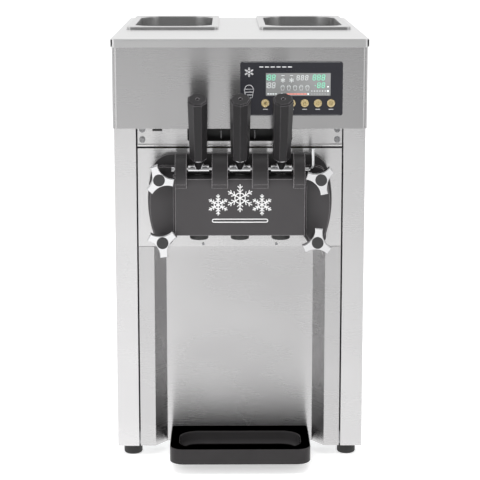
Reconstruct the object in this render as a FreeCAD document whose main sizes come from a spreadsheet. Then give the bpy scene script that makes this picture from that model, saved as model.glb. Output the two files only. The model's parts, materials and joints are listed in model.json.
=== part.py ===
"""Countertop soft serve machine with two flavours and a twist, as an assembly of separate pieces.

Millimetres. +Z is up, the front faces -Y and +X is to the right of a person facing the machine.
The origin is on the surface that the machine stands on, under the middle of its bounding box.
Most pieces are drawn in a local frame whose y = 0 is the plane of the front sheets.
"""
import FreeCAD, Part
import math
import os
import re

import Sketcher

Vector = FreeCAD.Vector

SIZES = [
    # cabinet
    ("front_plane", -221.9, "y of the front sheets"),
    ("cabinet_width", 418, "over the side panels"),
    ("cabinet_depth", 560, "front sheets to rear sheets"),
    ("cabinet_top", 700, "top edge of the side and rear panels"),
    ("floor_gap", 17, "underside of the cabinet above the floor"),
    ("gauge", 1.2, "stainless sheet thickness"),
    ("flange_width", 36.3, "front flange of a side panel"),
    ("hem_depth", 12, "return behind the free edge of that flange"),
    ("rear_flange", 19, "rear flange of a side panel"),
    ("panel_half", 170, "half width of the sheets between the side panels"),
    ("post_size", 16, "leg of a corner angle"),
    ("post_gauge", 2, "thickness of a corner angle"),
    ("base_wall", 20, "rise of the base pan walls"),
    ("frame_step", 36, "base pan behind the front sheets at the serving bay"),
    ("vent_bottom", 90, "lowest side louvre"),
    ("vent_start", 260, "side louvres ahead of the rear sheets, front end"),
    ("vent_end", 110, "side louvres ahead of the rear sheets, rear end"),
    ("vent_slot", 5, "height of a side louvre"),
    ("vent_pitch", 15, "side louvre spacing"),
    ("rear_vent_width", 160, "rear louvre length"),
    ("rear_vent_low", 70, "lowest rear louvre of the lower row"),
    ("rear_vent_high", 430, "lowest rear louvre of the upper row"),
    ("rear_vent_slot", 6, "height of a rear louvre"),
    ("rear_vent_pitch", 16, "rear louvre spacing"),
    ("gland_across", -120, "cable gland from the middle"),
    ("gland_height", 62, "cable gland above the floor"),
    ("gland_thread", 8, "cable gland thread radius"),
    ("lead_radius", 4, "bore of the cable gland"),
    ("foot_radius", 15.7, "rubber foot"),
    ("foot_across", 184, "foot centre from the middle"),
    ("foot_inset", 21, "foot centre from the front and rear sheets"),
    ("foot_round", 3.5, "rounding of the foot's lower edge"),
    # head and cover
    ("head_width", 420.5, "over the head shell"),
    ("head_bottom", 568, "lower edge of the head shell"),
    ("head_top", 714.5, "upper edge of the head shell"),
    ("head_overhang", 20, "head shell ahead of the front sheets"),
    ("head_corner", 9, "outer radius of the head's upright corners"),
    ("cover_width", 425, "over the rim of the top cover"),
    ("cover_overhang", 22.2, "cover rim ahead of the front sheets"),
    ("cover_bottom", 702, "lower edge of the cover rim"),
    ("cover_top", 716, "top surface of the cover"),
    ("cover_corner", 8, "outer radius of the cover's corners"),
    # hoppers
    ("hopper_across", 117.5, "hopper centre from the middle"),
    ("hopper_start", 200, "front of the hopper rim behind the front sheets"),
    ("hopper_length", 334, "rim, front to rear"),
    ("hopper_width", 163, "rim, side to side"),
    ("rim_border", 12.5, "rim width around the opening"),
    ("rim_height", 6, "rim above the cover"),
    ("pan_depth", 150, "cover top to the pan floor's underside"),
    ("pan_gauge", 1.2, "pan wall"),
    ("pan_corner", 42, "upright corner radius of the pan"),
    ("rim_corner", 9, "outer corner radius of the rim"),
    ("pan_floor_round", 12, "inner rounding between wall and floor"),
    ("outlet_radius", 12, "outlet tube, outside"),
    ("outlet_across", 80, "outlet tube from the middle"),
    ("outlet_behind", 238, "outlet tube behind the front sheets"),
    # freezing unit
    ("cylinder_across", 68, "cylinder axis from the middle"),
    ("cylinder_height", 447, "cylinder axis above the floor"),
    ("cylinder_radius", 50, "outside of the jacket"),
    ("barrel_radius", 46, "inside of the barrel"),
    ("cylinder_length", 283, "front sheets to the rear wall"),
    ("rear_wall", 8, "cylinder rear wall"),
    ("shaft_radius", 8, "beater shaft"),
    ("running_gap", 0.06, "radial clearance of a running fit"),
    ("small_gap", 0.3, "clearance between bodies"),
    ("block_start", 30, "insulation behind the front sheets"),
    ("block_end", 276, "rear of the insulation"),
    ("block_half", 148, "insulation half width"),
    ("block_bottom", 386, "insulation underside"),
    ("block_top", 508, "insulation top"),
    ("gearbox_start", 290, "gearbox face behind the front sheets"),
    ("gearbox_half", 48, "gearbox half width"),
    ("gearbox_length", 62, "gearbox, front to rear"),
    ("gearbox_below", 55, "gearbox underside from the axis"),
    ("gearbox_above", 50, "gearbox top from the axis"),
    ("motor_radius", 42, "beater motor"),
    ("motor_length", 110, "beater motor, front to rear"),
    # cooling
    ("compressor_across", -95, "compressor from the middle"),
    ("compressor_behind", 210, "compressor behind the front sheets"),
    ("compressor_radius", 70, "compressor can"),
    ("compressor_height", 169, "compressor above its foot"),
    ("condenser_left", -5, "condenser, left end"),
    ("condenser_right", 170, "condenser, right end"),
    ("condenser_top", 300, "condenser top"),
    ("condenser_gauge", 48, "condenser, front to rear"),
    ("condenser_behind", 14, "condenser ahead of the rear sheets"),
    ("fin_gap", 3, "slot between condenser fins"),
    ("fin_pitch", 6.2, "fin spacing"),
    ("fan_across", 82, "fan axis from the middle"),
    ("fan_height", 160, "fan axis above the floor"),
    ("fan_ahead", 70, "fan hub ahead of the rear sheets"),
    ("fan_reach", 80, "tip radius of a fan blade"),
    ("fan_shaft", 4, "fan shaft radius"),
    ("fan_motor_ahead", 150, "fan motor ahead of the rear sheets"),
    ("fan_motor_radius", 32, "fan motor can"),
    # front sheets
    ("seam_height", 366.5, "seam between faceplate and lower panel"),
    ("seam_gap", 0.4, "half of the gap in that seam"),
    ("seam_screw_across", 61.5, "small seam screws from the middle"),
    ("seam_screw_height", 370.5, "small seam screws above the floor"),
    ("face_top", 533, "faceplate top edge"),
    ("face_gauge", 3, "faceplate thickness"),
    ("upper_bottom", 536, "upper plate bottom edge"),
    ("upper_top", 604, "upper plate top edge, hidden by the head"),
    ("slot_half", 87, "switch slot behind the handles, half width"),
    ("slot_low", 545, "switch slot, lower edge"),
    ("slot_high", 590, "switch slot, upper edge, hidden by the head"),
    ("bay_half", 144, "mouth of the serving bay, half width"),
    ("splash_half", 124.6, "splash panel half width"),
    ("bay_depth", 28, "splash panel behind the front sheets"),
    # door
    ("door_back_top", 525, "top of the door's rear flange"),
    ("door_flange", 12, "rear flange thickness"),
    ("door_wing", 30, "thickness at the knobs"),
    ("door_depth", 55, "thickness of the raised middle"),
    ("door_half", 153, "half width at mid height"),
    ("door_low_half", 144, "half width above the lower corners"),
    ("block_side", 110, "raised middle, half width"),
    ("door_bottom", 392, "underside between the lower corners"),
    ("trough", 493, "top of the raised middle"),
    ("pivot_height", 503, "handle pin above the floor"),
    ("pivot_ahead", 35, "handle pin ahead of the front sheets"),
    ("pin_radius", 3, "handle pin"),
    ("spout_across", 68, "outer spouts from the middle"),
    ("piston_ahead", 17, "piston axis ahead of the front sheets"),
    ("piston_radius", 8, "draw piston"),
    ("piston_bottom", 394, "lower end of a closed piston"),
    ("piston_top", 513, "upper end of a closed piston"),
    ("ear_inner", 33, "inner ears from the middle"),
    ("ear_outer", 97, "outer ears from the middle"),
    ("ear_inner_width", 26, "width of an inner ear"),
    ("ear_outer_width", 19, "width of an outer ear"),
    ("ear_radius", 28, "rounding of an ear over the pin"),
    ("nozzle_radius", 15.5, "spout cap, outside"),
    ("nozzle_drop", 9, "spout cap below the door"),
    ("knob_upper_across", 132, "upper knobs from the middle"),
    ("knob_upper_height", 490, "upper knobs above the floor"),
    ("knob_lower_across", 127, "lower knobs from the middle"),
    ("knob_lower_height", 386, "lower knobs above the floor"),
    ("knob_tip", 24.5, "tip radius of a star knob"),
    ("knob_tip_half", 6.6, "half width of a lobe's flat tip"),
    ("knob_waist", 11.5, "radius at the bottom of a scallop"),
    ("knob_arm", 12, "thickness of the star"),
    ("knob_hub_radius", 10.5, "hub behind the star"),
    ("knob_hub", 28, "hub length from the door to the star"),
    ("knob_cap_radius", 9.6, "black cap on the star"),
    ("stud_radius", 4, "door stud"),
    ("stud_out", 64, "stud end ahead of the front sheets"),
    # handles
    ("handle_lean", 33, "degrees that a closed handle leans forward"),
    ("grip_start", 28, "grip's lower end from the pin"),
    ("grip_end", 149, "grip's upper end from the pin"),
    ("grip_low_flat", 28, "across flats, lower end"),
    ("grip_top_flat", 31.5, "across flats, upper end"),
    ("grip_chamfer", 2.2, "chamfer around the top"),
    ("hub_radius", 7.5, "fork hub around the pin"),
    ("hub_width", 34, "fork hub along the pin"),
    ("toe_reach", 15, "pin to the toe's centre"),
    ("toe_radius", 3, "rounding of the toe in the piston's notch"),
    # controls
    ("panel_left", 0.5, "control panel, left edge"),
    ("panel_right", 169, "control panel, right edge"),
    ("panel_low", 590, "control panel, lower edge"),
    ("panel_high", 678.5, "control panel, upper edge"),
    ("panel_gauge", 1, "control panel thickness"),
    ("panel_corner", 4, "control panel corners"),
    ("screen_left", 42.5, "display, left edge"),
    ("screen_right", 149, "display, right edge"),
    ("screen_low", 622.5, "display, lower edge"),
    ("screen_high", 660, "display, upper edge"),
    ("button_first", 41.7, "centre of the first button"),
    ("button_pitch", 21.6, "button spacing"),
    ("button_height", 610.5, "buttons above the floor"),
    ("button_radius", 6.7, "button cap"),
    ("switch_across", -137, "power switch from the middle"),
    ("switch_height", 573, "power switch above the floor"),
    ("switch_width", 15, "rocker width"),
    ("plate_screw_across", 162, "screws of the upper plate"),
    ("plate_screw_low", 547.5, "lower screws of the upper plate"),
    ("plate_screw_high", 564.5, "upper screws of the upper plate"),
    ("screw_radius", 3.9, "head of those screws"),
    ("washer_radius", 5.4, "their washers"),
    # drip tray
    ("tray_half", 117.5, "tray half width"),
    ("tray_reach", 104, "tray front ahead of the front sheets"),
    ("tray_bottom", 18, "tray underside"),
    ("tray_top", 44.5, "tray rim"),
    ("tray_corner", 24, "front corners of the tray"),
    ("well_half", 101, "well half width"),
    ("well_front", 91, "well front ahead of the front sheets"),
    ("well_back", 4, "well rear ahead of the front sheets"),
    ("well_floor", 22, "well floor"),
    ("well_corner", 30, "well corner radius"),
    ("peg_radius", 4, "tray peg"),
    ("peg_reach", 14, "peg length inside the tray"),
    ("peg_across", 110, "peg from the middle"),
    ("peg_height", 31, "peg above the floor"),
]

doc = FreeCAD.newDocument("soft_serve_machine")
sheet = doc.addObject("Spreadsheet::Sheet", "Sizes")
for row, (alias, size, meaning) in enumerate(SIZES, start=1):
    sheet.set(f"A{row}", meaning)
    sheet.set(f"B{row}", str(size))
    sheet.setAlias(f"B{row}", alias)
doc.recompute()
ALIASES = {alias for alias, size, meaning in SIZES}

PIECES = []


# ---------------------------------------------------------------- sheet-driven helpers

def linked(text):
    """The expression with each alias pointed at the sheet."""
    return re.sub(r"[a-z_]+", lambda word: f"Sizes.{word[0]}" if word[0] in ALIASES else word[0], text)


def size(text):
    """The present value of an expression of aliases."""
    return float(sheet.evalExpression(linked(text)))


def bind(item, prop, text):
    item.setExpression(prop, linked(str(text)))


def put(item, x="0", y="front_plane", z="0"):
    """Place an object by expressions; y = front_plane is the plane of the front sheets."""
    for axis, text in zip("xyz", (x, y, z)):
        bind(item, f"Placement.Base.{axis}", text)
    return item


def keep(item, label):
    """Register a finished sub-part under its file name."""
    item.Label = label
    PIECES.append(item)
    return item


def new_body(name):
    return doc.addObject("PartDesign::Body", name)


def new_sketch(body, role, lift="0"):
    """A sketch on one of the body's own planes, lifted along that plane's normal."""
    plane = next(item for item in body.Origin.OriginFeatures if item.Role == role)
    sketch = body.newObject("Sketcher::SketchObject", "Sketch")
    sketch.AttachmentSupport = (plane, [""])
    sketch.MapMode = "FlatFace"
    bind(sketch, "AttachmentOffset.Base.z", lift)
    return sketch


def fix_point(sketch, geometry, end, x, y):
    for kind, text in (("DistanceX", x), ("DistanceY", y)):
        index = sketch.addConstraint(Sketcher.Constraint(kind, -1, 1, geometry, end, size(text)))
        bind(sketch, f"Constraints[{index}]", text)


def outline(sketch, corners):
    """A closed outline. A corner is (x, y), or (x, y, via_x, via_y) to reach the next by an arc.

    An arc is always stored anticlockwise, so its start may be the later corner.
    """
    spots = [Vector(size(corner[0]), size(corner[1]), 0) for corner in corners]
    first = sketch.GeometryCount
    starts = []
    for index, corner in enumerate(corners):
        start = spots[index]
        end = spots[(index + 1) % len(corners)]
        if len(corner) == 2:
            sketch.addGeometry(Part.LineSegment(start, end), False)
            starts.append(1)
            continue
        middle = Vector(size(corner[2]), size(corner[3]), 0)
        turns_left = (middle - start).cross(end - middle).z > 0
        ends = (start, end) if turns_left else (end, start)
        sketch.addGeometry(Part.Arc(ends[0], middle, ends[1]), False)
        starts.append(1 if turns_left else 2)
    for index, corner in enumerate(corners):
        following = (index + 1) % len(corners)
        near = 3 - starts[index]
        sketch.addConstraint(Sketcher.Constraint(
            "Coincident", first + index, near, first + following, starts[following]))
        fix_point(sketch, first + index, starts[index], corner[0], corner[1])
        if len(corner) == 4:
            point = sketch.addGeometry(Part.Point(Vector(size(corner[2]), size(corner[3]), 0)), True)
            fix_point(sketch, point, 1, corner[2], corner[3])
            sketch.addConstraint(Sketcher.Constraint("PointOnObject", point, 1, first + index))


def rectangle(sketch, left, right, low, high):
    outline(sketch, [(left, low), (right, low), (right, high), (left, high)])


def rounded(sketch, left, right, low, high, radius):
    """A rectangle with round corners, going round from the lower left."""
    nook = f"({radius}) * (1 - cos(45))"
    outline(sketch, [
        (f"{left} + {radius}", low), (f"{right} - ({radius})", low, f"{right} - {nook}", f"{low} + {nook}"),
        (right, f"{low} + {radius}"), (right, f"{high} - ({radius})", f"{right} - {nook}", f"{high} - {nook}"),
        (f"{right} - ({radius})", high), (f"{left} + {radius}", high, f"{left} + {nook}", f"{high} - {nook}"),
        (left, f"{high} - ({radius})"), (left, f"{low} + {radius}", f"{left} + {nook}", f"{low} + {nook}")])


def circle(sketch, x, y, radius):
    centre = Vector(size(x), size(y), 0)
    index = sketch.addGeometry(Part.Circle(centre, Vector(0, 0, 1), size(radius)), False)
    fix_point(sketch, index, 3, x, y)
    held = sketch.addConstraint(Sketcher.Constraint("Radius", index, size(radius)))
    bind(sketch, f"Constraints[{held}]", radius)


def feature(body, kind, sketch, length, **settings):
    """Pad or Pocket the sketch by a sheet-driven length."""
    item = body.newObject(f"PartDesign::{kind}", kind)
    item.Profile = sketch
    bind(item, "Length", length)
    for name, value in settings.items():
        setattr(item, name, value)
    sketch.Visibility = False
    doc.recompute()
    return item


def pad(body, sketch, length, **settings):
    return feature(body, "Pad", sketch, length, **settings)


def pocket(body, sketch, length, **settings):
    """Pocket the sketch, and make sure that it removed material."""
    before = body.Shape.Volume
    item = feature(body, "Pocket", sketch, length, **settings)
    if body.Shape.Volume > before - 1e-3:
        raise RuntimeError(f"{body.Name}: a pocket cut nothing")
    return item


def repeat(body, source, kind, axis, count, reach):
    """A PolarPattern over an angle or a LinearPattern over a length, kept as the body's tip."""
    pattern = body.newObject(f"PartDesign::{kind}", kind)
    pattern.Originals = [source]
    line = next(item for item in body.Origin.OriginFeatures if item.Role == axis)
    if kind == "PolarPattern":
        pattern.Axis = (line, [""])
        bind(pattern, "Angle", reach)
    else:
        pattern.Direction = (line, [""])
        bind(pattern, "Length", reach)
    pattern.Occurrences = count
    body.Tip = pattern
    doc.recompute()
    return pattern


def spans(edge):
    """The edge's end-to-end vector."""
    ends = edge.Vertexes
    if len(ends) < 2:
        return Vector(0, 0, 0)
    return ends[1].Point - ends[0].Point


def along(edge, axis):
    span = spans(edge)
    straight = edge.Curve.TypeId == "Part::GeomLine"
    return straight and span.Length > 1e-6 and abs(abs(span.normalize().dot(axis)) - 1) < 1e-6


def dress(body, kind, radius, chosen):
    """Fillet or Chamfer the edges of the body's tip that the test picks."""
    base = body.Tip
    names = [f"Edge{index}" for index, edge in enumerate(base.Shape.Edges, start=1) if chosen(edge)]
    if not names:
        raise RuntimeError(f"{body.Name}: no edge chosen")
    item = body.newObject(f"PartDesign::{kind}", kind)
    item.Base = (base, names)
    bind(item, "Radius" if kind == "Fillet" else "Size", radius)
    doc.recompute()
    if item.Shape.isNull() or "Invalid" in item.State:
        raise RuntimeError(f"{body.Name}: {kind} of {radius} on {len(names)} edges failed")
    return item


def hollow_out(body, wall, opened):
    """Turn the body's tip into a shell of that wall, open at the faces that the test picks."""
    base = body.Tip
    names = [f"Face{index}" for index, face in enumerate(base.Shape.Faces, start=1) if opened(face)]
    item = body.newObject("PartDesign::Thickness", "Shell")
    item.Base = (base, names)
    bind(item, "Value", wall)
    item.Reversed = True
    doc.recompute()
    return item


def block(name, left, right, near, far, low, high):
    """A Part::Box between six expressions, in the front-plane frame."""
    item = doc.addObject("Part::Box", name)
    bind(item, "Length", f"({right}) - ({left})")
    bind(item, "Width", f"({far}) - ({near})")
    bind(item, "Height", f"({high}) - ({low})")
    return put(item, left, near, low)


def rod(name, axis, radius, length, x, y, z):
    """A Part::Cylinder from a point along +X, +Y or +Z, in the front-plane frame."""
    item = doc.addObject("Part::Cylinder", name)
    bind(item, "Radius", radius)
    bind(item, "Height", length)
    turns = {"X": (Vector(0, 1, 0), 90), "Y": (Vector(1, 0, 0), -90), "Z": (Vector(0, 0, 1), 0)}
    item.Placement.Rotation = FreeCAD.Rotation(*turns[axis])
    return put(item, x, y, z)


def joined(name, items):
    fuse = doc.addObject("Part::MultiFuse", name)
    fuse.Shapes = items
    return fuse


def group(name, items):
    """Identical pieces that share one file stay separate solids in a compound."""
    compound = doc.addObject("Part::Compound", name)
    compound.Links = items
    return compound


def cut(name, base, tool):
    item = doc.addObject("Part::Cut", name)
    item.Base = base
    item.Tool = tool
    return item


X_AXIS = Vector(1, 0, 0)
Y_AXIS = Vector(0, 1, 0)
Z_AXIS = Vector(0, 0, 1)
SIDES = (("left", -1), ("right", 1))
SPOUTS = (("left", "-spout_across"), ("centre", "0"), ("right", "spout_across"))


# ---------------------------------------------------------------- cabinet

def base_frame():
    """Folded base pan. Its front is stepped back behind the serving bay."""
    body = new_body("BaseFrame")
    edge = "cabinet_width / 2 - gauge - small_gap"
    step = "bay_half + 8"
    near = "hem_depth + small_gap"
    far = "cabinet_depth - gauge - small_gap"
    plan = [(f"-({edge})", near), (f"-({step})", near), (f"-({step})", "frame_step"),
            (step, "frame_step"), (step, near), (edge, near), (edge, far), (f"-({edge})", far)]
    floor = new_sketch(body, "XY_Plane", "floor_gap")
    outline(floor, plan)
    pad(body, floor, "post_gauge")
    walls = new_sketch(body, "XY_Plane", "floor_gap + post_gauge")
    outline(walls, plan)
    inner = f"{edge} - post_gauge"
    rectangle(walls, f"-({inner})", inner, "frame_step + post_gauge", f"{far} - post_gauge")
    pad(body, walls, "base_wall")
    return keep(put(body), "base_frame")


def corner_posts():
    """Four upright angles that carry the panels."""
    posts = []
    outer = "cabinet_width / 2 - gauge - post_gauge - 2 * small_gap"
    for side, sign in SIDES:
        for end in ("front", "rear"):
            if end == "front":
                near = "front_plane + frame_step + post_gauge + small_gap"
            else:
                near = "front_plane + cabinet_depth - gauge - 2 * small_gap - post_gauge - post_size"
            edges = (f"{sign} * ({outer})", f"{sign} * ({outer} - post_size)")
            left, right = edges if sign < 0 else edges[::-1]
            low = "floor_gap + post_gauge"
            whole = block(f"Post_{side}_{end}", left, right, near, f"{near} + post_size", low, "cabinet_top")
            hollow_left = left if sign > 0 else f"{left} + post_gauge"
            hollow_right = right if sign < 0 else f"{right} - post_gauge"
            hollow_near = near if end == "rear" else f"{near} + post_gauge"
            hollow_far = f"{near} + post_size" if end == "front" else f"{near} + post_size - post_gauge"
            hollow = block(f"PostHollow_{side}_{end}", hollow_left, hollow_right, hollow_near, hollow_far,
                           f"{low} - 1", "cabinet_top + 1")
            posts.append(cut(f"Angle_{side}_{end}", whole, hollow))
    frame = group("Posts", posts)
    return keep(frame, "corner_posts")


def feet():
    """Four rubber feet with a rounded tread."""
    items = []
    for side, sign in SIDES:
        for end, behind in (("front", "foot_inset"), ("rear", "cabinet_depth - foot_inset")):
            body = new_body(f"Foot_{side}_{end}")
            profile = new_sketch(body, "XY_Plane")
            circle(profile, "0", "0", "foot_radius")
            pad(body, profile, "floor_gap")
            dress(body, "Fillet", "foot_round", lambda edge: edge.BoundBox.ZMax < 0.01)
            put(body, f"{sign} * foot_across", f"front_plane + {behind}")
            items.append(body)
    return keep(group("Feet", items), "feet")


SIDE_VENTS = 14
REAR_VENTS = 15


def side_panel(side, sign):
    """One side sheet with a hemmed front flange, a rear flange and rows of louvres."""
    body = new_body(f"SidePanel_{side}")
    outer = "cabinet_width / 2"
    free = "cabinet_width / 2 - flange_width"
    plan = [(outer, "0"), (free, "0"), (free, "hem_depth"), (f"{free} + gauge", "hem_depth"),
            (f"{free} + gauge", "gauge"), (f"{outer} - gauge", "gauge"),
            (f"{outer} - gauge", "cabinet_depth - gauge"),
            (f"{outer} - rear_flange", "cabinet_depth - gauge"),
            (f"{outer} - rear_flange", "cabinet_depth"), (outer, "cabinet_depth")]
    profile = new_sketch(body, "XY_Plane", "floor_gap")
    outline(profile, [(f"{sign} * ({x})", y) for x, y in plan])
    pad(body, profile, "cabinet_top - floor_gap")
    slot = new_sketch(body, "YZ_Plane", "-cabinet_width")
    rectangle(slot, "cabinet_depth - vent_start", "cabinet_depth - vent_end", "vent_bottom",
              "vent_bottom + vent_slot")
    louvre = pocket(body, slot, "cabinet_width * 2", Reversed=True)
    repeat(body, louvre, "LinearPattern", "Z_Axis", SIDE_VENTS, f"{SIDE_VENTS - 1} * vent_pitch")
    return keep(put(body), f"side_panel_{side}")


def rear_panel():
    """Rear sheet with ventilation slots in front of the condenser and a hole for the cable gland."""
    body = new_body("RearPanel")
    profile = new_sketch(body, "XZ_Plane", "-(cabinet_depth)")
    edge = "cabinet_width / 2 - rear_flange - 0.5"
    rectangle(profile, f"-({edge})", edge, "floor_gap + post_gauge", "cabinet_top")
    circle(profile, "gland_across", "gland_height", "gland_thread + 0.2")
    pad(body, profile, "gauge")
    slot = new_sketch(body, "XZ_Plane", "-(cabinet_depth) - 1")
    for low in ("rear_vent_low", "rear_vent_high"):
        rectangle(slot, "0", "rear_vent_width", low, f"{low} + rear_vent_slot")
    louvre = pocket(body, slot, "gauge + 2", Reversed=True)
    repeat(body, louvre, "LinearPattern", "Z_Axis", REAR_VENTS, f"{REAR_VENTS - 1} * rear_vent_pitch")
    return keep(put(body), "rear_panel")


def cable_gland():
    """Screwed gland where a supply lead enters."""
    rear = "front_plane + cabinet_depth"
    nut = rod("GlandNut", "Y", "gland_thread + 4", "5", "gland_across", rear, "gland_height")
    dome = doc.addObject("Part::Cone", "GlandDome")
    dome.Radius1 = 10
    dome.Radius2 = 6.5
    dome.Height = 7
    dome.Placement.Rotation = FreeCAD.Rotation(X_AXIS, -90)
    put(dome, "gland_across", f"{rear} + 5", "gland_height")
    thread = rod("GlandThread", "Y", "gland_thread", "12 + gauge", "gland_across", f"{rear} - 12 - gauge",
                 "gland_height")
    bore = rod("GlandBore", "Y", "lead_radius", "60", "gland_across", f"{rear} - 30", "gland_height")
    return keep(cut("Gland", joined("GlandSolid", [nut, dome, thread]), bore), "cable_gland")


def lower_front_panel():
    """One bent sheet: a strip at each side, two slanted walls and the splash panel between them."""
    body = new_body("LowerFrontPanel")
    slope = "((bay_half - splash_half) / bay_depth)"
    shift = f"gauge * (sqrt(1 + {slope} ^ 2) - {slope})"
    right = [("splash_half", "bay_depth"), ("bay_half", "0"), ("panel_half", "0"), ("panel_half", "gauge"),
             (f"bay_half + {shift}", "gauge"), (f"splash_half + {shift}", "bay_depth + gauge")]
    left = [(f"-({x})", y) for x, y in reversed(right)]
    profile = new_sketch(body, "XY_Plane", "floor_gap + 0.2")
    outline(profile, right + left)
    pad(body, profile, "seam_height - seam_gap - floor_gap")
    holes = new_sketch(body, "XZ_Plane", "-(bay_depth) - 5")
    for sign in (-1, 1):
        circle(holes, f"{sign} * peg_across", "peg_height", "peg_radius")
    pocket(body, holes, "10", Reversed=True)
    return keep(put(body), "lower_front_panel")


def faceplate():
    """Thick plate that the cylinders come through, with a shelf over the serving bay."""
    body = new_body("Faceplate")
    profile = new_sketch(body, "XZ_Plane", "-(face_gauge)")
    rectangle(profile, "-(panel_half)", "panel_half", "seam_height + seam_gap", "face_top")
    for side, sign in SIDES:
        circle(profile, f"{sign} * cylinder_across", "cylinder_height", "cylinder_radius + 0.1")
        circle(profile, f"{sign} * knob_upper_across", "knob_upper_height", "stud_radius")
        circle(profile, f"{sign} * knob_lower_across", "knob_lower_height", "stud_radius")
        circle(profile, f"{sign} * seam_screw_across", "seam_screw_height", "1.6")
    pad(body, profile, "face_gauge")
    shelf = new_sketch(body, "XY_Plane", "seam_height + seam_gap")
    rectangle(shelf, "-(panel_half)", "panel_half", "face_gauge", "bay_depth + gauge")
    pad(body, shelf, "gauge")
    return keep(put(body), "faceplate")


def upper_plate():
    """Plate under the head with a ledge, the power switch opening and a slot behind the handles."""
    body = new_body("UpperPlate")
    profile = new_sketch(body, "XZ_Plane", "-(gauge)")
    rectangle(profile, "-(panel_half)", "panel_half", "upper_bottom", "upper_top")
    half = "switch_width / 2 + 0.5"
    rectangle(profile, f"switch_across - ({half})", f"switch_across + ({half})",
              "switch_height - 11", "switch_height + 11")
    for sign in (-1, 1):
        for height in ("plate_screw_low", "plate_screw_high"):
            circle(profile, f"{sign} * plate_screw_across", height, "2")
    rounded(profile, "-(slot_half)", "slot_half", "slot_low", "slot_high", "3")
    pad(body, profile, "gauge")
    ledge = new_sketch(body, "XZ_Plane")
    rectangle(ledge, "-(panel_half)", "panel_half", "upper_bottom + 1", "upper_bottom + 4")
    pad(body, ledge, "2")
    dress(body, "Fillet", "0.9", lambda edge: along(edge, X_AXIS) and edge.BoundBox.YMax < -1.99)
    return keep(put(body), "upper_plate")


def panel_screws():
    """Pan-head screws of the upper plate with washers, and two small ones at the seam."""
    screws = []
    spots = [(f"{sign} * plate_screw_across", height) for sign in (-1, 1)
             for height in ("plate_screw_low", "plate_screw_high")]
    for index, (x, z) in enumerate(spots):
        washer = rod(f"Washer{index}", "Y", "washer_radius", "0.8", x, "front_plane - 0.8", z)
        head = rod(f"Head{index}", "Y", "screw_radius", "2.2", x, "front_plane - 3", z)
        shank = rod(f"Shank{index}", "Y", "1.9", "9", x, "front_plane - 1", z)
        slots = []
        for name, wide, high in (("Across", "2.4", "0.45"), ("Upright", "0.45", "2.4")):
            slots.append(block(f"{name}{index}", f"{x} - {wide}", f"{x} + {wide}", "front_plane - 4",
                               "front_plane - 2", f"{z} - {high}", f"{z} + {high}"))
        solid = joined(f"ScrewSolid{index}", [washer, head, shank])
        screws.append(cut(f"Screw{index}", solid, joined(f"Cross{index}", slots)))
    for index, sign in enumerate((-1, 1)):
        x = f"{sign} * seam_screw_across"
        head = rod(f"SeamHead{index}", "Y", "2.4", "1.2", x, "front_plane - 1.2", "seam_screw_height")
        shank = rod(f"SeamShank{index}", "Y", "1.5", "8", x, "front_plane - 1", "seam_screw_height")
        screws.append(joined(f"SeamScrew{index}", [head, shank]))
    return keep(group("PanelScrews", screws), "panel_screws")


# ---------------------------------------------------------------- head, cover and hoppers

def head_panel():
    """The head shell: front and both sides in one wrap, with rounded upright corners."""
    body = new_body("HeadPanel")
    outer = "head_width / 2"
    inner = "head_width / 2 - gauge"
    plan = [(f"-({outer})", "-(head_overhang)"), (outer, "-(head_overhang)"), (outer, "cabinet_depth"),
            (inner, "cabinet_depth"), (inner, "gauge - head_overhang"), (f"-({inner})", "gauge - head_overhang"),
            (f"-({inner})", "cabinet_depth"), (f"-({outer})", "cabinet_depth")]
    profile = new_sketch(body, "XY_Plane", "head_bottom")
    outline(profile, plan)
    pad(body, profile, "head_top - head_bottom")
    half = size(outer)
    front = -size("head_overhang")

    def corner(reach, depth):
        def test(edge):
            middle = edge.CenterOfMass
            return (along(edge, Z_AXIS) and abs(abs(middle.x) - reach) < 0.01
                    and abs(middle.y - depth) < 0.01)
        return test

    gauge = size("gauge")
    dress(body, "Fillet", "head_corner", corner(half, front))
    dress(body, "Fillet", "head_corner - gauge", corner(half - gauge, front + gauge))
    window = new_sketch(body, "XZ_Plane", "head_overhang + 1")
    rectangle(window, "button_first - 9", "button_first + 5 * button_pitch + 9", "button_height - 9",
              "screen_high + 1")
    pocket(body, window, "gauge + 2")
    lip = new_sketch(body, "XY_Plane", "head_bottom")
    rectangle(lip, "-(head_width) / 2 + head_corner", "head_width / 2 - head_corner",
              "gauge - head_overhang", "gauge - head_overhang + 6")
    pad(body, lip, "gauge")
    return keep(put(body), "head_panel")


def top_cover():
    """Polished lid with a deep rim and an opening for each hopper."""
    body = new_body("TopCover")
    half = "cover_width / 2"
    profile = new_sketch(body, "XY_Plane", "cover_bottom")
    rectangle(profile, f"-({half})", half, "-(cover_overhang)", "cabinet_depth + 1.5")
    pad(body, profile, "cover_top - cover_bottom")
    dress(body, "Fillet", "cover_corner", lambda edge: along(edge, Z_AXIS))
    top = size("cover_top")
    dress(body, "Fillet", "2", lambda edge: abs(edge.BoundBox.ZMin - top) < 0.01)
    hollow = new_sketch(body, "XY_Plane", "cover_bottom")
    inner = "cover_width / 2 - gauge"
    rectangle(hollow, f"-({inner})", inner, "gauge - cover_overhang", "cabinet_depth + 1.5 - gauge")
    pocket(body, hollow, "cover_top - cover_bottom - gauge", Reversed=True)
    openings = new_sketch(body, "XY_Plane", "cover_bottom")
    reach = "hopper_width / 2 - rim_border + pan_gauge + 1"
    for side, sign in SIDES:
        rounded(openings, f"{sign} * hopper_across - ({reach})", f"{sign} * hopper_across + ({reach})",
                "hopper_start + rim_border - pan_gauge - 1",
                "hopper_start + hopper_length - rim_border + pan_gauge + 1", "pan_corner")
    pocket(body, openings, "cover_top - cover_bottom + 1", Reversed=True)
    return keep(put(body), "top_cover")


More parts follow.
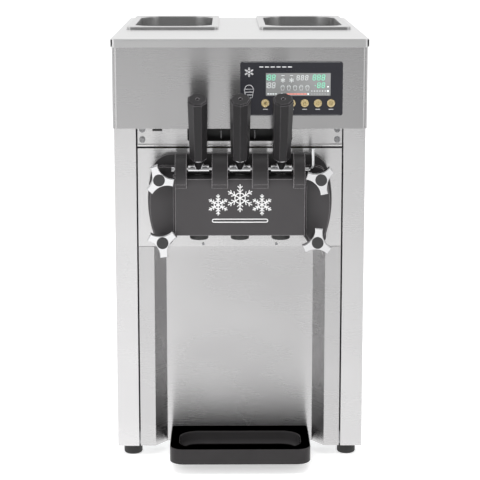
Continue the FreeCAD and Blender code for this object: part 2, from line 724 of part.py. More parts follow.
def hopper(side, sign):
    """Deep-drawn mix hopper: a raised rolled rim, a rounded pan and an outlet tube."""
    body = new_body(f"Hopper_{side}")
    half = "hopper_width / 2"
    mouth = "hopper_width / 2 - rim_border"
    pan = f"{mouth} + pan_gauge"
    shell = new_sketch(body, "XY_Plane")
    rounded(shell, f"-({pan})", pan, "rim_border - pan_gauge", "hopper_length - rim_border + pan_gauge",
            "(pan_corner + pan_gauge)")
    pad(body, shell, "pan_depth", Reversed=True)
    bottom = -size("pan_depth")
    dress(body, "Fillet", "pan_floor_round + pan_gauge", lambda edge: edge.BoundBox.ZMax < bottom + 0.01)
    hollow_out(body, "pan_gauge", lambda face: face.BoundBox.ZMin > -0.01)
    rim = new_sketch(body, "XY_Plane")
    rounded(rim, f"-({half})", half, "0", "hopper_length", "rim_corner")
    rounded(rim, f"-({mouth})", mouth, "rim_border", "hopper_length - rim_border", "pan_corner")
    pad(body, rim, "rim_height")
    top = size("rim_height")
    dress(body, "Fillet", "2.8", lambda edge: edge.BoundBox.ZMin > top - 0.01)
    tube = new_sketch(body, "XY_Plane", "-(pan_depth)")
    spot = (f"{sign} * (outlet_across - hopper_across)", "outlet_behind - hopper_start")
    circle(tube, *spot, "outlet_radius")
    pad(body, tube, "cover_top - pan_depth - cylinder_height - cylinder_radius + 2", Reversed=True)
    drain = new_sketch(body, "XY_Plane", "0")
    circle(drain, *spot, "outlet_radius - 2")
    pocket(body, drain, "pan_depth * 2")
    put(body, f"{sign} * hopper_across", "front_plane + hopper_start", "cover_top")
    return keep(body, f"hopper_{side}")


# ---------------------------------------------------------------- freezing and drive

def freezing_cylinder(side, sign):
    """Jacketed barrel, open at the front, with the shaft bearing in its rear wall and an inlet on top."""
    axis = (f"{sign} * cylinder_across", "front_plane", "cylinder_height")
    jacket = rod(f"Jacket_{side}", "Y", "cylinder_radius", "cylinder_length", *axis)
    barrel = rod(f"Barrel_{side}", "Y", "barrel_radius", "cylinder_length - rear_wall + 1",
                 axis[0], "front_plane - 1", axis[2])
    bearing = rod(f"Bearing_{side}", "Y", "shaft_radius + running_gap", "cylinder_length + 20", *axis)
    inlet = rod(f"Inlet_{side}", "Z", "outlet_radius + 0.2", "cylinder_radius + 20",
                f"{sign} * outlet_across", "front_plane + outlet_behind", "cylinder_height")
    tools = joined(f"CylinderTools_{side}", [barrel, bearing, inlet])
    return keep(cut(f"Cylinder_{side}", jacket, tools), f"freezing_cylinder_{side}")


def insulation():
    """Foam block around both cylinders."""
    whole = block("Foam", "-(block_half)", "block_half", "front_plane + block_start",
                  "front_plane + block_end", "block_bottom", "block_top")
    tools = []
    for side, sign in SIDES:
        tools.append(rod(f"FoamBore_{side}", "Y", "cylinder_radius + 0.2", "cylinder_length + 20",
                         f"{sign} * cylinder_across", "front_plane - 1", "cylinder_height"))
        tools.append(rod(f"FoamInlet_{side}", "Z", "outlet_radius + 0.5", "200", f"{sign} * outlet_across",
                         "front_plane + outlet_behind", "cylinder_height"))
    return keep(cut("Insulation", whole, joined("FoamTools", tools)), "cylinder_insulation")


def beater(side, sign):
    """Dasher: a shaft, three cross arms and two scraper bars. The shaft runs on into the gearbox."""
    reach = "barrel_radius - 1.2"
    shaft = rod(f"Shaft_{side}", "Y", "shaft_radius", "gearbox_start + 22 - 8", "0", "8", "0")
    bars = []
    for sense in (-1, 1):
        bars.append(block(f"Bar_{side}_{sense}", "-3", "3", "10", "cylinder_length - rear_wall - 6",
                          f"{sense} * ({reach}) - {4 if sense > 0 else 0}",
                          f"{sense} * ({reach}) + {4 if sense < 0 else 0}"))
    arms = []
    for index, behind in enumerate(("14", "135", "255")):
        arms.append(block(f"Arm_{side}_{index}", "-2.5", "2.5", behind, f"{behind} + 8",
                          f"2 - ({reach})", f"({reach}) - 2"))
    item = joined(f"Beater_{side}", [shaft] + bars + arms)
    put(item, f"{sign} * cylinder_across", "front_plane", "cylinder_height")
    return keep(item, f"beater_{side}")


def gearmotor(side, sign):
    """Gearbox with a hollow output, and its motor behind."""
    x = f"{sign} * cylinder_across"
    start = "front_plane + gearbox_start"
    box = block(f"Gearbox_{side}", f"{x} - gearbox_half", f"{x} + gearbox_half",
                start, f"{start} + gearbox_length",
                "cylinder_height - gearbox_below", "cylinder_height + gearbox_above")
    box_fillet = doc.addObject("Part::Fillet", f"GearboxRound_{side}")
    box_fillet.Base = box
    doc.recompute()
    uprights = [index for index, edge in enumerate(box.Shape.Edges, start=1) if along(edge, Y_AXIS)]
    box_fillet.Edges = [(index, 10.0, 10.0) for index in uprights]
    motor = rod(f"Motor_{side}", "Y", "motor_radius", "motor_length", x, f"{start} + gearbox_length - 1",
                "cylinder_height")
    output = rod(f"Output_{side}", "Y", "shaft_radius + running_gap", "24", x, f"{start} - 1",
                 "cylinder_height")
    solid = joined(f"Drive_{side}", [box_fillet, motor])
    return keep(cut(f"Gearmotor_{side}", solid, output), f"gearmotor_{side}")


def compressor():
    """Hermetic compressor: a domed can on a foot plate."""
    body = new_body("Compressor")
    foot = new_sketch(body, "XY_Plane")
    rectangle(foot, "-85", "85", "-60", "60")
    pad(body, foot, "4")
    can = new_sketch(body, "XY_Plane", "4")
    circle(can, "0", "0", "compressor_radius")
    pad(body, can, "compressor_height - 4")
    top = size("compressor_height")
    dress(body, "Fillet", "compressor_radius / 2", lambda edge: edge.BoundBox.ZMin > top - 1)
    seam = new_sketch(body, "XY_Plane", "compressor_height / 2")
    circle(seam, "0", "0", "compressor_radius + 3")
    pad(body, seam, "5")
    put(body, "compressor_across", "front_plane + compressor_behind", "floor_gap + post_gauge")
    return keep(body, "compressor")


FIN_GAPS = 27


def condenser():
    """Finned block with deep slots between its fins, behind the rear louvres."""
    body = new_body("Condenser")
    profile = new_sketch(body, "XZ_Plane", "-(cabinet_depth) + condenser_behind")
    rectangle(profile, "condenser_left", "condenser_right", "floor_gap + post_gauge", "condenser_top")
    pad(body, profile, "condenser_gauge")
    gap = new_sketch(body, "XZ_Plane", "-(cabinet_depth) + condenser_behind - 1")
    rectangle(gap, "condenser_left + 5", "condenser_left + 5 + fin_gap",
              "floor_gap + 18", "condenser_top - 10")
    slot = pocket(body, gap, "condenser_gauge - 10", Reversed=True)
    repeat(body, slot, "LinearPattern", "X_Axis", FIN_GAPS, f"{FIN_GAPS - 1} * fin_pitch")
    return keep(put(body), "condenser")


def fan_motor():
    """Motor on a bracket that stands on the base pan, with the bearing for the fan's shaft."""
    y = "front_plane + cabinet_depth - fan_motor_ahead"
    low = "floor_gap + post_gauge"
    can = rod("FanCan", "Y", "fan_motor_radius", "60", "fan_across", y, "fan_height")
    leg = block("FanLeg", "fan_across - 22", "fan_across + 22", f"{y} + 10", f"{y} + 14",
                low, "fan_height - 10")
    foot = block("FanFoot", "fan_across - 32", "fan_across + 32", f"{y} + 10", f"{y} + 44",
                 low, f"{low} + 3")
    bore = rod("FanBore", "Y", "fan_shaft + running_gap", "41", "fan_across", f"{y} + 20", "fan_height")
    return keep(cut("FanMotor", joined("FanMotorSolid", [can, leg, foot]), bore), "fan_motor")


def fan():
    """Five-blade fan with its shaft."""
    body = new_body("Fan")
    hub = new_sketch(body, "XZ_Plane")
    circle(hub, "0", "0", "20")
    pad(body, hub, "16")
    blade = new_sketch(body, "XZ_Plane", "4")
    outline(blade, [("16", "-9"), ("fan_reach - 6", "-24", "fan_reach", "0"), ("fan_reach - 6", "24"),
                    ("16", "9")])
    sheet_blade = pad(body, blade, "3")
    repeat(body, sheet_blade, "PolarPattern", "Y_Axis", 5, "360")
    shaft = new_sketch(body, "XZ_Plane", "15")
    circle(shaft, "0", "0", "fan_shaft")
    pad(body, shaft, "38")
    return keep(put(body, "fan_across", "front_plane + cabinet_depth - fan_ahead", "fan_height"), "fan")


# ---------------------------------------------------------------- controls

def control_panel():
    """Dark overlay on the head with a window for the display and a hole for each button."""
    body = new_body("ControlPanel")
    profile = new_sketch(body, "XZ_Plane", "head_overhang")
    rectangle(profile, "panel_left", "panel_right", "panel_low", "panel_high")
    pad(body, profile, "panel_gauge")
    dress(body, "Fillet", "panel_corner", lambda edge: along(edge, Y_AXIS))
    holes = new_sketch(body, "XZ_Plane", "head_overhang - 1")
    rectangle(holes, "screen_left", "screen_right", "screen_low", "screen_high")
    for index in range(6):
        circle(holes, f"button_first + {index} * button_pitch", "button_height", "button_radius + small_gap")
    pocket(body, holes, "panel_gauge + 2", Reversed=True)
    return keep(put(body), "control_panel")


def display_window():
    """Clear window over the display."""
    body = new_body("DisplayWindow")
    profile = new_sketch(body, "XZ_Plane", "head_overhang - gauge")
    rectangle(profile, "screen_left + 0.1", "screen_right - 0.1", "screen_low + 0.1", "screen_high - 0.1")
    pad(body, profile, "gauge + panel_gauge - small_gap")
    return keep(put(body), "display_window")


def button(index):
    """Round button cap on a stem that reaches back to its switch."""
    body = new_body(f"Button{index}")
    cap = new_sketch(body, "XZ_Plane")
    circle(cap, "0", "0", "button_radius")
    pad(body, cap, "2.6")
    dress(body, "Fillet", "0.7", lambda edge: edge.BoundBox.YMax < -2.59)
    stem = new_sketch(body, "XZ_Plane")
    circle(stem, "0", "0", "2")
    pad(body, stem, "10", Reversed=True)
    put(body, f"button_first + {index} * button_pitch", "front_plane - head_overhang", "button_height")
    return keep(body, f"button_{index + 1}")


def control_board():
    """Circuit board behind the panel with a relay, a display block and tact switches."""
    near = "front_plane - head_overhang + 14"
    board = block("Board", "screen_left - 26", "screen_right + 14", near, f"{near} + 1.6", "600", "672")
    parts = [board]
    parts.append(block("DisplayBlock", "screen_left + 2", "screen_right - 2",
                       "front_plane - head_overhang + 2", near, "screen_low + 2", "screen_high - 2"))
    for index in range(3):
        parts.append(block(f"Relay{index}", f"50 + {index} * 30", f"68 + {index} * 30", f"{near} + 1.6",
                           f"{near} + 17", "640", "656"))
    for index in range(6):
        parts.append(block(f"Tact{index}", f"button_first + {index} * button_pitch - 3",
                           f"button_first + {index} * button_pitch + 3", f"{near} - 2.5", near,
                           "button_height - 3", "button_height + 3"))
    return keep(joined("ControlBoard", parts), "control_board")


def power_switch():
    """Rocker switch on its pin. It rests in its on position and tips the other way."""
    body = new_body("PowerSwitch")
    profile = new_sketch(body, "YZ_Plane", "-(switch_width) / 2")
    outline(profile, [("3", "-9"), ("-2", "-9.5"), ("-2", "0"), ("-4.72", "9.5"), ("3", "9")])
    pad(body, profile, "switch_width")
    pin = new_sketch(body, "YZ_Plane", "-(switch_width) / 2 - 0.4")
    circle(pin, "0", "0", "1.6")
    pad(body, pin, "switch_width + 0.8")
    return keep(put(body, "switch_across", "front_plane", "switch_height"), "power_switch")


# ---------------------------------------------------------------- door and draw valves

def door_outline(sketch, inset):
    """Door seen from the front: bulging sides, round upper corners and two lower corner lugs."""
    top = f"door_back_top - {inset}"
    side = f"door_half - {inset}"
    low = f"door_low_half - {inset}"
    lug = "knob_lower_across"
    lug_radius = f"(17 - {inset})"
    right = [
        (f"{lug} - 0.94 * {lug_radius}", f"knob_lower_height - 0.34 * {lug_radius}",
         f"{lug} + 0.2 * {lug_radius}", f"knob_lower_height - 0.98 * {lug_radius}"),
        (low, f"knob_lower_height + 4", side, "455"),
        ("door_low_half + 3 - " + str(inset), f"{top} - 30", f"{side} - 17", f"{top} - 9"),
    ]
    left = [
        (f"36 - door_low_half", top, f"17 - {side}", f"{top} - 9"),
        (f"-(door_low_half + 3 - {inset})", f"{top} - 30", f"-({side})", "455"),
        (f"-({low})", "knob_lower_height + 4", f"-({lug}) - 0.2 * {lug_radius}",
         f"knob_lower_height - 0.98 * {lug_radius}"),
        (f"0.94 * {lug_radius} - {lug}", f"knob_lower_height - 0.34 * {lug_radius}"),
        (f"0.94 * {lug_radius} - {lug} + 9", f"door_bottom + {inset}"),
    ]
    closing = [(f"{lug} - 0.94 * {lug_radius} - 9", f"door_bottom + {inset}")]
    outline(sketch, right + [(f"door_low_half - 36", top)] + left + closing)


def door():
    """Freezer door: rear flange, wings for the knobs, raised middle, pin ears and valve bores."""
    body = new_body("Door")
    flange = new_sketch(body, "XZ_Plane")
    door_outline(flange, "0")
    pad(body, flange, "door_flange")
    wings = new_sketch(body, "XZ_Plane", "door_flange")
    lower_wing = "knob_lower_height - 13"
    outline(wings, [
        ("-(knob_lower_across) - 12", "knob_lower_height", "-(knob_lower_across)", lower_wing),
        ("12 - knob_lower_across", "knob_lower_height"), ("12 - knob_lower_across + 6", "door_bottom"),
        ("knob_lower_across - 18", "door_bottom"),
        ("knob_lower_across - 12", "knob_lower_height", "knob_lower_across", lower_wing),
        ("knob_lower_across + 12", "knob_lower_height", "door_half - 4", "450"),
        ("door_low_half - 1", "trough - 6", "door_low_half - 6", "trough + 8"),
        ("knob_upper_across - 11", "trough + 13"), ("-(knob_upper_across) + 11", "trough + 13",
                                                   "6 - door_low_half", "trough + 8"),
        ("1 - door_low_half", "trough - 6", "4 - door_half", "450")])
    pad(body, wings, "door_wing - door_flange")
    trough = new_sketch(body, "XZ_Plane", "door_wing + 1")
    rectangle(trough, "-(block_side) + 3", "block_side - 3", "trough", "door_back_top + 20")
    pocket(body, trough, "door_wing + 1 - door_flange + 6")
    middle = new_sketch(body, "XZ_Plane", "door_wing")
    rectangle(middle, "-(block_side)", "block_side", "door_bottom", "trough")
    pad(body, middle, "door_depth - door_wing", TaperAngle=-8)
    ears = []
    for across, width in (("-(ear_outer)", "ear_outer_width"), ("-(ear_inner)", "ear_inner_width"),
                          ("ear_inner", "ear_inner_width"), ("ear_outer", "ear_outer_width")):
        ear = new_sketch(body, "YZ_Plane", f"{across} - {width} / 2")
        front = "-(pivot_ahead) - ear_radius + 2"
        back = "-(pivot_ahead) + ear_radius + 2"
        outline(ear, [(front, "pivot_height - 2", "2 - pivot_ahead", "pivot_height - 2 + ear_radius"),
                      (back, "pivot_height - 2"), (back, "trough - 8"), ("-(door_depth) + 6", "trough - 22"),
                      ("-(door_depth) + 1", "trough - 20"), (front, "trough - 12")])
        ears.append(pad(body, ear, width))
    bores = new_sketch(body, "XY_Plane", "door_bottom - 30")
    for side, across in SPOUTS:
        circle(bores, across, "-(piston_ahead)", "piston_radius + running_gap")
    pocket(body, bores, "150", Reversed=True)
    studs = new_sketch(body, "XZ_Plane", "-1")
    for side, sign in SIDES:
        circle(studs, f"{sign} * knob_upper_across", "knob_upper_height", "stud_radius + 0.3")
        circle(studs, f"{sign} * knob_lower_across", "knob_lower_height", "stud_radius + 0.3")
    pocket(body, studs, "door_wing + 40", Reversed=True)
    pin = new_sketch(body, "YZ_Plane", "-200")
    circle(pin, "-(pivot_ahead)", "pivot_height", "pin_radius + running_gap")
    pocket(body, pin, "400", Reversed=True)
    return body


def finish_door(body):
    """Mix ports from the cylinders to the valve bores, seal grooves and rounded outer edges."""
    ports = new_sketch(body, "XZ_Plane", "-1")
    for sign in (-1, 1):
        circle(ports, f"{sign} * spout_across", "425", "6")
    rectangle(ports, "-50", "50", "421", "429")
    pocket(body, ports, "piston_ahead + 1", Reversed=True)
    grooves = new_sketch(body, "XZ_Plane", "-1")
    for sign in (-1, 1):
        for radius in ("cylinder_radius + 0.5", "cylinder_radius + 4"):
            circle(grooves, f"{sign} * cylinder_across", "cylinder_height", radius)
    pocket(body, grooves, "4", Reversed=True)
    return keep(put(body), "door")


def door_seals():
    """A flat ring seal around the mouth of each cylinder."""
    rings = []
    for side, sign in SIDES:
        spot = (f"{sign} * cylinder_across", "front_plane - 3", "cylinder_height")
        outer = rod(f"SealOuter_{side}", "Y", "cylinder_radius + 4", "3", *spot)
        inner = rod(f"SealInner_{side}", "Y", "cylinder_radius + 0.5", "3", *spot)
        rings.append(cut(f"Seal_{side}", outer, inner))
    return keep(group("DoorSeals", rings), "door_seals")


def nozzles():
    """Three spout caps with a star-shaped outlet."""
    caps = []
    for side, across in SPOUTS:
        body = new_body(f"Nozzle_{side}")
        ring = new_sketch(body, "XY_Plane")
        circle(ring, "0", "0", "nozzle_radius")
        pad(body, ring, "nozzle_drop", Reversed=True)
        dress(body, "Fillet", "3", lambda edge: edge.BoundBox.ZMax < -size("nozzle_drop") + 0.01)
        chamber = new_sketch(body, "XY_Plane", "0")
        circle(chamber, "0", "0", "piston_radius")
        pocket(body, chamber, "nozzle_drop - 4")
        star = new_sketch(body, "XY_Plane", "-(nozzle_drop) + 5")
        points = []
        for index in range(12):
            reach = 7.5 if index % 2 == 0 else 4.2
            angle = math.radians(30 * index)
            points.append((f"{reach * math.cos(angle):.3f}", f"{reach * math.sin(angle):.3f}"))
        outline(star, points)
        pocket(body, star, "10")
        put(body, across, "front_plane - piston_ahead", "door_bottom")
        caps.append(body)
    return keep(group("Nozzles", caps), "nozzles")


def door_studs():
    """Four threaded studs that the star knobs screw onto."""
    studs = []
    for side, sign in SIDES:
        for row in ("upper", "lower"):
            studs.append(rod(f"Stud_{side}_{row}", "Y", "stud_radius", "stud_out + 20",
                             f"{sign} * knob_{row}_across", "front_plane - stud_out", f"knob_{row}_height"))
    return keep(group("DoorStuds", studs), "door_studs")


def piston(side, across):
    """Draw piston with a notch near its top for the toe of the handle."""
    stem = rod(f"Stem_{side}", "Z", "piston_radius", "piston_top - piston_bottom", across,
               "front_plane - piston_ahead", "piston_bottom")
    notch = block(f"Notch_{side}", f"{across} - piston_radius - 1", f"{across} + piston_radius + 1",
                  "front_plane - piston_ahead - piston_radius - 1",
                  "front_plane - pivot_ahead + toe_reach + toe_radius + small_gap",
                  "pivot_height - toe_radius - 1.3", "pivot_height + toe_radius + 1.3")
    groove = doc.addObject("Part::Torus", f"SealGroove_{side}")
    bind(groove, "Radius1", "piston_radius + 0.4")
    groove.Radius2 = 1.2
    put(groove, across, "front_plane - piston_ahead", "piston_bottom + 10")
    tools = joined(f"PistonTools_{side}", [notch, groove])
    return keep(cut(f"Piston_{side}", stem, tools), f"piston_{side}")


def handle_fork(side, across):
    """Chrome fork: a hub on the pin, a flared socket for the grip and a toe for the piston."""
    hub = rod(f"Hub_{side}", "X", "hub_radius", "hub_width", "-(hub_width) / 2", "0", "0")
    socket = doc.addObject("Part::Cone", f"Socket_{side}")
    socket.Radius1 = 6
    bind(socket, "Radius2", "grip_low_flat / 2 - 2.5")
    bind(socket, "Height", "grip_start - 2")
    spigot = doc.addObject("Part::Cylinder", f"Spigot_{side}")
    spigot.Radius = 5
    bind(spigot, "Height", "30")
    for item, distance in ((socket, "2"), (spigot, "grip_start - 1")):
        item.Placement.Rotation = FreeCAD.Rotation(X_AXIS, size("handle_lean"))
        put(item, "0", f"-sin(handle_lean) * ({distance})", f"cos(handle_lean) * ({distance})")
    arm = block(f"Toe_{side}", "-5", "5", "0", "toe_reach", "-2", "2")
    tip = rod(f"Tip_{side}", "X", "toe_radius", "10", "-5", "toe_reach", "0")
    bore = rod(f"ForkBore_{side}", "X", "pin_radius + running_gap", "hub_width + 2", "-(hub_width) / 2 - 1",
               "0", "0")
    solid = joined(f"ForkSolid_{side}", [hub, socket, spigot, arm, tip])
    item = cut(f"Fork_{side}", solid, bore)
    put(item, across, "front_plane - pivot_ahead", "pivot_height")
    return keep(item, f"handle_fork_{side}")


def octagon(sketch, flat, turn):
    """A regular octagon by its size across flats. With no turn it has a flat to the front."""
    points = []
    for index in range(8):
        angle = 22.5 + turn + 45 * index
        points.append((f"{flat} / 2 / cos(22.5) * cos({angle})", f"{flat} / 2 / cos(22.5) * sin({angle})"))
    outline(sketch, points)


GRIP_TURNS = {"left": 0, "centre": 22.5, "right": 8}


def handle(side, across):
    """Octagonal tapered grip with a chamfered top and a small dimple, as far round as it was screwed on."""
    body = new_body(f"Handle_{side}")
    sections = []
    for distance, flat in (("grip_start", "grip_low_flat"), ("grip_end - grip_chamfer", "grip_top_flat"),
                           ("grip_end", "(grip_top_flat - 2 * grip_chamfer)")):
        section = new_sketch(body, "XY_Plane", distance)
        octagon(section, flat, GRIP_TURNS[side])
        sections.append(section)
    doc.recompute()
    for lower, upper in zip(sections, sections[1:]):
        loft = body.newObject("PartDesign::AdditiveLoft", "Taper")
        loft.Profile = lower
        loft.Sections = [upper]
        loft.Ruled = True
        doc.recompute()
    dimple = new_sketch(body, "XY_Plane", "grip_end")
    circle(dimple, "0", "0", "2.6")
    pocket(body, dimple, "4")
    socket = new_sketch(body, "XY_Plane", "grip_start")
    circle(socket, "0", "0", "5.05")
    pocket(body, socket, "31", Reversed=True)
    body.Placement.Rotation = FreeCAD.Rotation(X_AXIS, size("handle_lean"))
    put(body, across, "front_plane - pivot_ahead", "pivot_height")
    return keep(body, f"handle_{side}")


def pivot_rod():
    """Handle pin through all four ears: a small head at the left, a bent-up end at the right."""
    body = new_body("PivotRod")
    reach = "ear_outer + ear_outer_width / 2"
    spine = new_sketch(body, "XZ_Plane")
    start = Vector(-size(f"{reach} + 4"), 0, 0)
    bend = 8.0
    end = size(f"{reach} + 5")
    spine.addGeometry(Part.LineSegment(start, Vector(end, 0, 0)), False)
    ring = Part.Circle(Vector(end, bend, 0), Vector(0, 0, 1), bend)
    spine.addGeometry(Part.ArcOfCircle(ring, -math.pi / 2, 0), False)
    spine.addGeometry(Part.LineSegment(Vector(end + bend, bend, 0), Vector(end + bend, 34, 0)), False)
    section = new_sketch(body, "YZ_Plane", f"-({reach} + 4)")
    circle(section, "0", "0", "pin_radius")
    doc.recompute()
    pipe = body.newObject("PartDesign::AdditivePipe", "Bent")
    pipe.Profile = section
    pipe.Spine = (spine, [])
    doc.recompute()
    head = new_sketch(body, "YZ_Plane", f"-({reach} + 6)")
    circle(head, "0", "0", "pin_radius + 1.4")
    pad(body, head, "4")
    return keep(put(body, "0", "front_plane - pivot_ahead", "pivot_height"), "pivot_rod")


KNOBS = (("upper_left", -1, "upper", 110), ("upper_right", 1, "upper", 43),
         ("lower_left", -1, "lower", 36), ("lower_right", 1, "lower", 85))


def star_knob(label, sign, row, turn):
    """Three-lobed star knob with scalloped sides, a hub and a blind bore for the stud."""
    body = new_body(f"Knob_{label}")
    star = new_sketch(body, "XZ_Plane", "knob_hub")
    corners = []
    for index in range(3):
        angle = 120 * index
        for sense in ("-", "+"):
            x = f"knob_tip * cos({angle}) - ({sense}1) * knob_tip_half * sin({angle})"
            y = f"knob_tip * sin({angle}) + ({sense}1) * knob_tip_half * cos({angle})"
            corners.append((x, y))
    outline(star, corners)
    pad(body, star, "knob_arm")
    scallop = new_sketch(body, "XZ_Plane", "knob_hub - 1")
    radius = scallop_radius()
    circle(scallop, f"(knob_waist + {radius:.4f}) * cos(60)", f"(knob_waist + {radius:.4f}) * sin(60)",
           f"{radius:.4f}")
    hollow = pocket(body, scallop, "knob_arm + 2", Reversed=True)
    repeat(body, hollow, "PolarPattern", "Y_Axis", 3, "360")
    front = -size("knob_hub + knob_arm")
    dress(body, "Fillet", "1.6", lambda edge: edge.BoundBox.YMax < front + 0.01)
    hub = new_sketch(body, "XZ_Plane")
    circle(hub, "0", "0", "knob_hub_radius")
    pad(body, hub, "knob_hub + 1")
    seat = new_sketch(body, "XZ_Plane", "knob_hub + knob_arm")
    circle(seat, "0", "0", "knob_cap_radius - 1.5")
    pocket(body, seat, "1.5")
    bore = new_sketch(body, "XZ_Plane", "-1")
    circle(bore, "0", "0", "stud_radius + running_gap")
    pocket(body, bore, "stud_out - door_wing - small_gap + 2", Reversed=True)
    body.Placement.Rotation = FreeCAD.Rotation(Y_AXIS, -turn)
    put(body, f"{sign} * knob_{row}_across", "front_plane - door_wing - small_gap", f"knob_{row}_height")
    return keep(body, f"knob_{label}")


def scallop_radius():
    """Radius of the circle through a lobe's tip corners that just touches the waist circle."""
    waist = size("knob_waist")
    reach = math.hypot(size("knob_tip"), size("knob_tip_half"))
    swing = math.radians(60) - math.atan2(size("knob_tip_half"), size("knob_tip"))
    ahead = reach * math.cos(swing)
    beside = reach * math.sin(swing)
    return ((ahead - waist) ** 2 + beside ** 2) / (2 * (ahead - waist))


def knob_cap(label, sign, row):
    """Round black cap pressed into the star."""
    body = new_body(f"KnobCap_{label}")
    disc = new_sketch(body, "XZ_Plane", "0")
    circle(disc, "0", "0", "knob_cap_radius")
    pad(body, disc, "2.6")
    dress(body, "Fillet", "1", lambda edge: edge.BoundBox.YMax < -2.59)
    plug = new_sketch(body, "XZ_Plane", "0")
    circle(plug, "0", "0", "knob_cap_radius - 1.6")
    pad(body, plug, "1.4", Reversed=True)
    put(body, f"{sign} * knob_{row}_across",
        "front_plane - door_wing - small_gap - knob_hub - knob_arm", f"knob_{row}_height")
    return keep(body, f"knob_cap_{label}")


# ---------------------------------------------------------------- drip tray

def drip_tray():
    """Black tray with a deep rounded well and two sockets in its rear wall."""
    body = new_body("DripTray")
    plan = new_sketch(body, "XY_Plane", "tray_bottom")
    rectangle(plan, "-(tray_half)", "tray_half", "-(tray_reach)", "bay_depth - small_gap")
    pad(body, plan, "tray_top - tray_bottom")
    front = -size("tray_reach")
    back = size("bay_depth - small_gap")
    dress(body, "Fillet", "tray_corner",
          lambda edge: along(edge, Z_AXIS) and abs(edge.CenterOfMass.y - front) < 0.01)
    dress(body, "Fillet", "7", lambda edge: along(edge, Z_AXIS) and abs(edge.CenterOfMass.y - back) < 0.01)
    well = new_sketch(body, "XY_Plane", "tray_top")
    rectangle(well, "-(well_half)", "well_half", "-(well_front)", "-(well_back)")
    pocket(body, well, "tray_top - well_floor")
    inner = size("well_half")
    dress(body, "Fillet", "well_corner",
          lambda edge: along(edge, Z_AXIS) and abs(abs(edge.CenterOfMass.x) - inner) < 0.01)
    floor = size("well_floor")
    dress(body, "Fillet", "9", lambda edge: abs(edge.BoundBox.ZMax - floor) < 0.01)
    top = size("tray_top")
    dress(body, "Fillet", "2.5", lambda edge: edge.BoundBox.ZMin > top - 0.01)
    under = size("tray_bottom")
    dress(body, "Fillet", "2", lambda edge: edge.BoundBox.ZMax < under + 0.01)
    sockets = new_sketch(body, "XZ_Plane", "-(bay_depth) - 1")
    for sign in (-1, 1):
        circle(sockets, f"{sign} * peg_across", "peg_height", "peg_radius + running_gap")
    pocket(body, sockets, "peg_reach + 2", Reversed=True)
    return keep(put(body), "drip_tray")


def tray_pegs():
    """Two pegs through the splash panel that the tray pushes onto."""
    pegs = []
    for side, sign in SIDES:
        pin = rod(f"Peg_{side}", "Y", "peg_radius", "peg_reach + gauge + 4", f"{sign} * peg_across",
                  "front_plane + bay_depth - peg_reach", "peg_height")
        flange = rod(f"PegFlange_{side}", "Y", "peg_radius + 3", "3", f"{sign} * peg_across",
                     "front_plane + bay_depth + gauge", "peg_height")
        pegs.append(joined(f"TrayPeg_{side}", [pin, flange]))
    return keep(group("TrayPegs", pegs), "tray_pegs")


# ---------------------------------------------------------------- assembly

def build():
    base_frame()
    corner_posts()
    feet()
    for side, sign in SIDES:
        side_panel(side, sign)
    rear_panel()
    cable_gland()
    lower_front_panel()
    faceplate()
    upper_plate()
    panel_screws()
    head_panel()
    top_cover()
    for side, sign in SIDES:
        hopper(side, sign)
        freezing_cylinder(side, sign)
        beater(side, sign)
        gearmotor(side, sign)
    insulation()
    compressor()
    condenser()
    fan_motor()
    fan()
    control_panel()
    display_window()
    for index in range(6):
        button(index)
    control_board()
    power_switch()
    finish_door(door())
    door_seals()
    nozzles()
    door_studs()
    for side, across in SPOUTS:
        piston(side, across)
        handle_fork(side, across)
        handle(side, across)
    pivot_rod()
    for label, sign, row, turn in KNOBS:
        star_knob(label, sign, row, turn)
        knob_cap(label, sign, row)
    drip_tray()
    tray_pegs()


def write_out():
    """Refuse a failed or empty object, then write one file per piece."""
    doc.recompute()
    for item in doc.Objects:
        if "Invalid" in item.State or "Error" in item.State:
            raise RuntimeError(f"{item.Label} failed: {item.State}")
    os.makedirs("parts", exist_ok=True)
    for item in PIECES:
        shape = item.Shape
        if shape.isNull() or not shape.isValid() or not shape.Solids:
            raise RuntimeError(f"{item.Label} has no valid solid")
        shape.exportStep(f"parts/{item.Label}.step")
    print(f"{len(PIECES)} pieces written")


build()
write_out()
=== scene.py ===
"""Looks of a countertop soft serve machine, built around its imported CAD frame.

Metres, +Z up, the front looks to -Y.
"""
import json
import math

import bmesh
import bpy
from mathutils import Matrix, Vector

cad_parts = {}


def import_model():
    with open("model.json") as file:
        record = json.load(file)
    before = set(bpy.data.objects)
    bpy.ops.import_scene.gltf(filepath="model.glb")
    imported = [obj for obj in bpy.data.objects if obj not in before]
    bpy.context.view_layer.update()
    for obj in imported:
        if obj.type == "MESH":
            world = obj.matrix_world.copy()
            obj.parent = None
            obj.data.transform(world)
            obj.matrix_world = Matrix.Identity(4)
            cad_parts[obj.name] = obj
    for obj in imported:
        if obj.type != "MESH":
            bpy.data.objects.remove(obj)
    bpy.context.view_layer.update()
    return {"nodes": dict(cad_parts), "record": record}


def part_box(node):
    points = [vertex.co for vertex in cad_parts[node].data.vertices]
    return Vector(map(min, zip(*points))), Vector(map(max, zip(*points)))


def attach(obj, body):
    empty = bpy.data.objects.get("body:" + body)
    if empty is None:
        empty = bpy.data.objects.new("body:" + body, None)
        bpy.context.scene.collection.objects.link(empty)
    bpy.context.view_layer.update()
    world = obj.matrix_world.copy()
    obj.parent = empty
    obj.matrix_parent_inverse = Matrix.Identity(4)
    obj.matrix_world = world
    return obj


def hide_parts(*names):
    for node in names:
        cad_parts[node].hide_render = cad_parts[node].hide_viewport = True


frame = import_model()
MM = 0.001

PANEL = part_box("control_panel")
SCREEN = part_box("display_window")
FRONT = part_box("faceplate")[0].y
BODY_OF = {node: body for body, nodes in frame["record"]["behaviour"]["bodies"].items() for node in nodes}
SLOT_OF = {part["node"]: part["material_slot"] for part in frame["record"]["subparts"]}

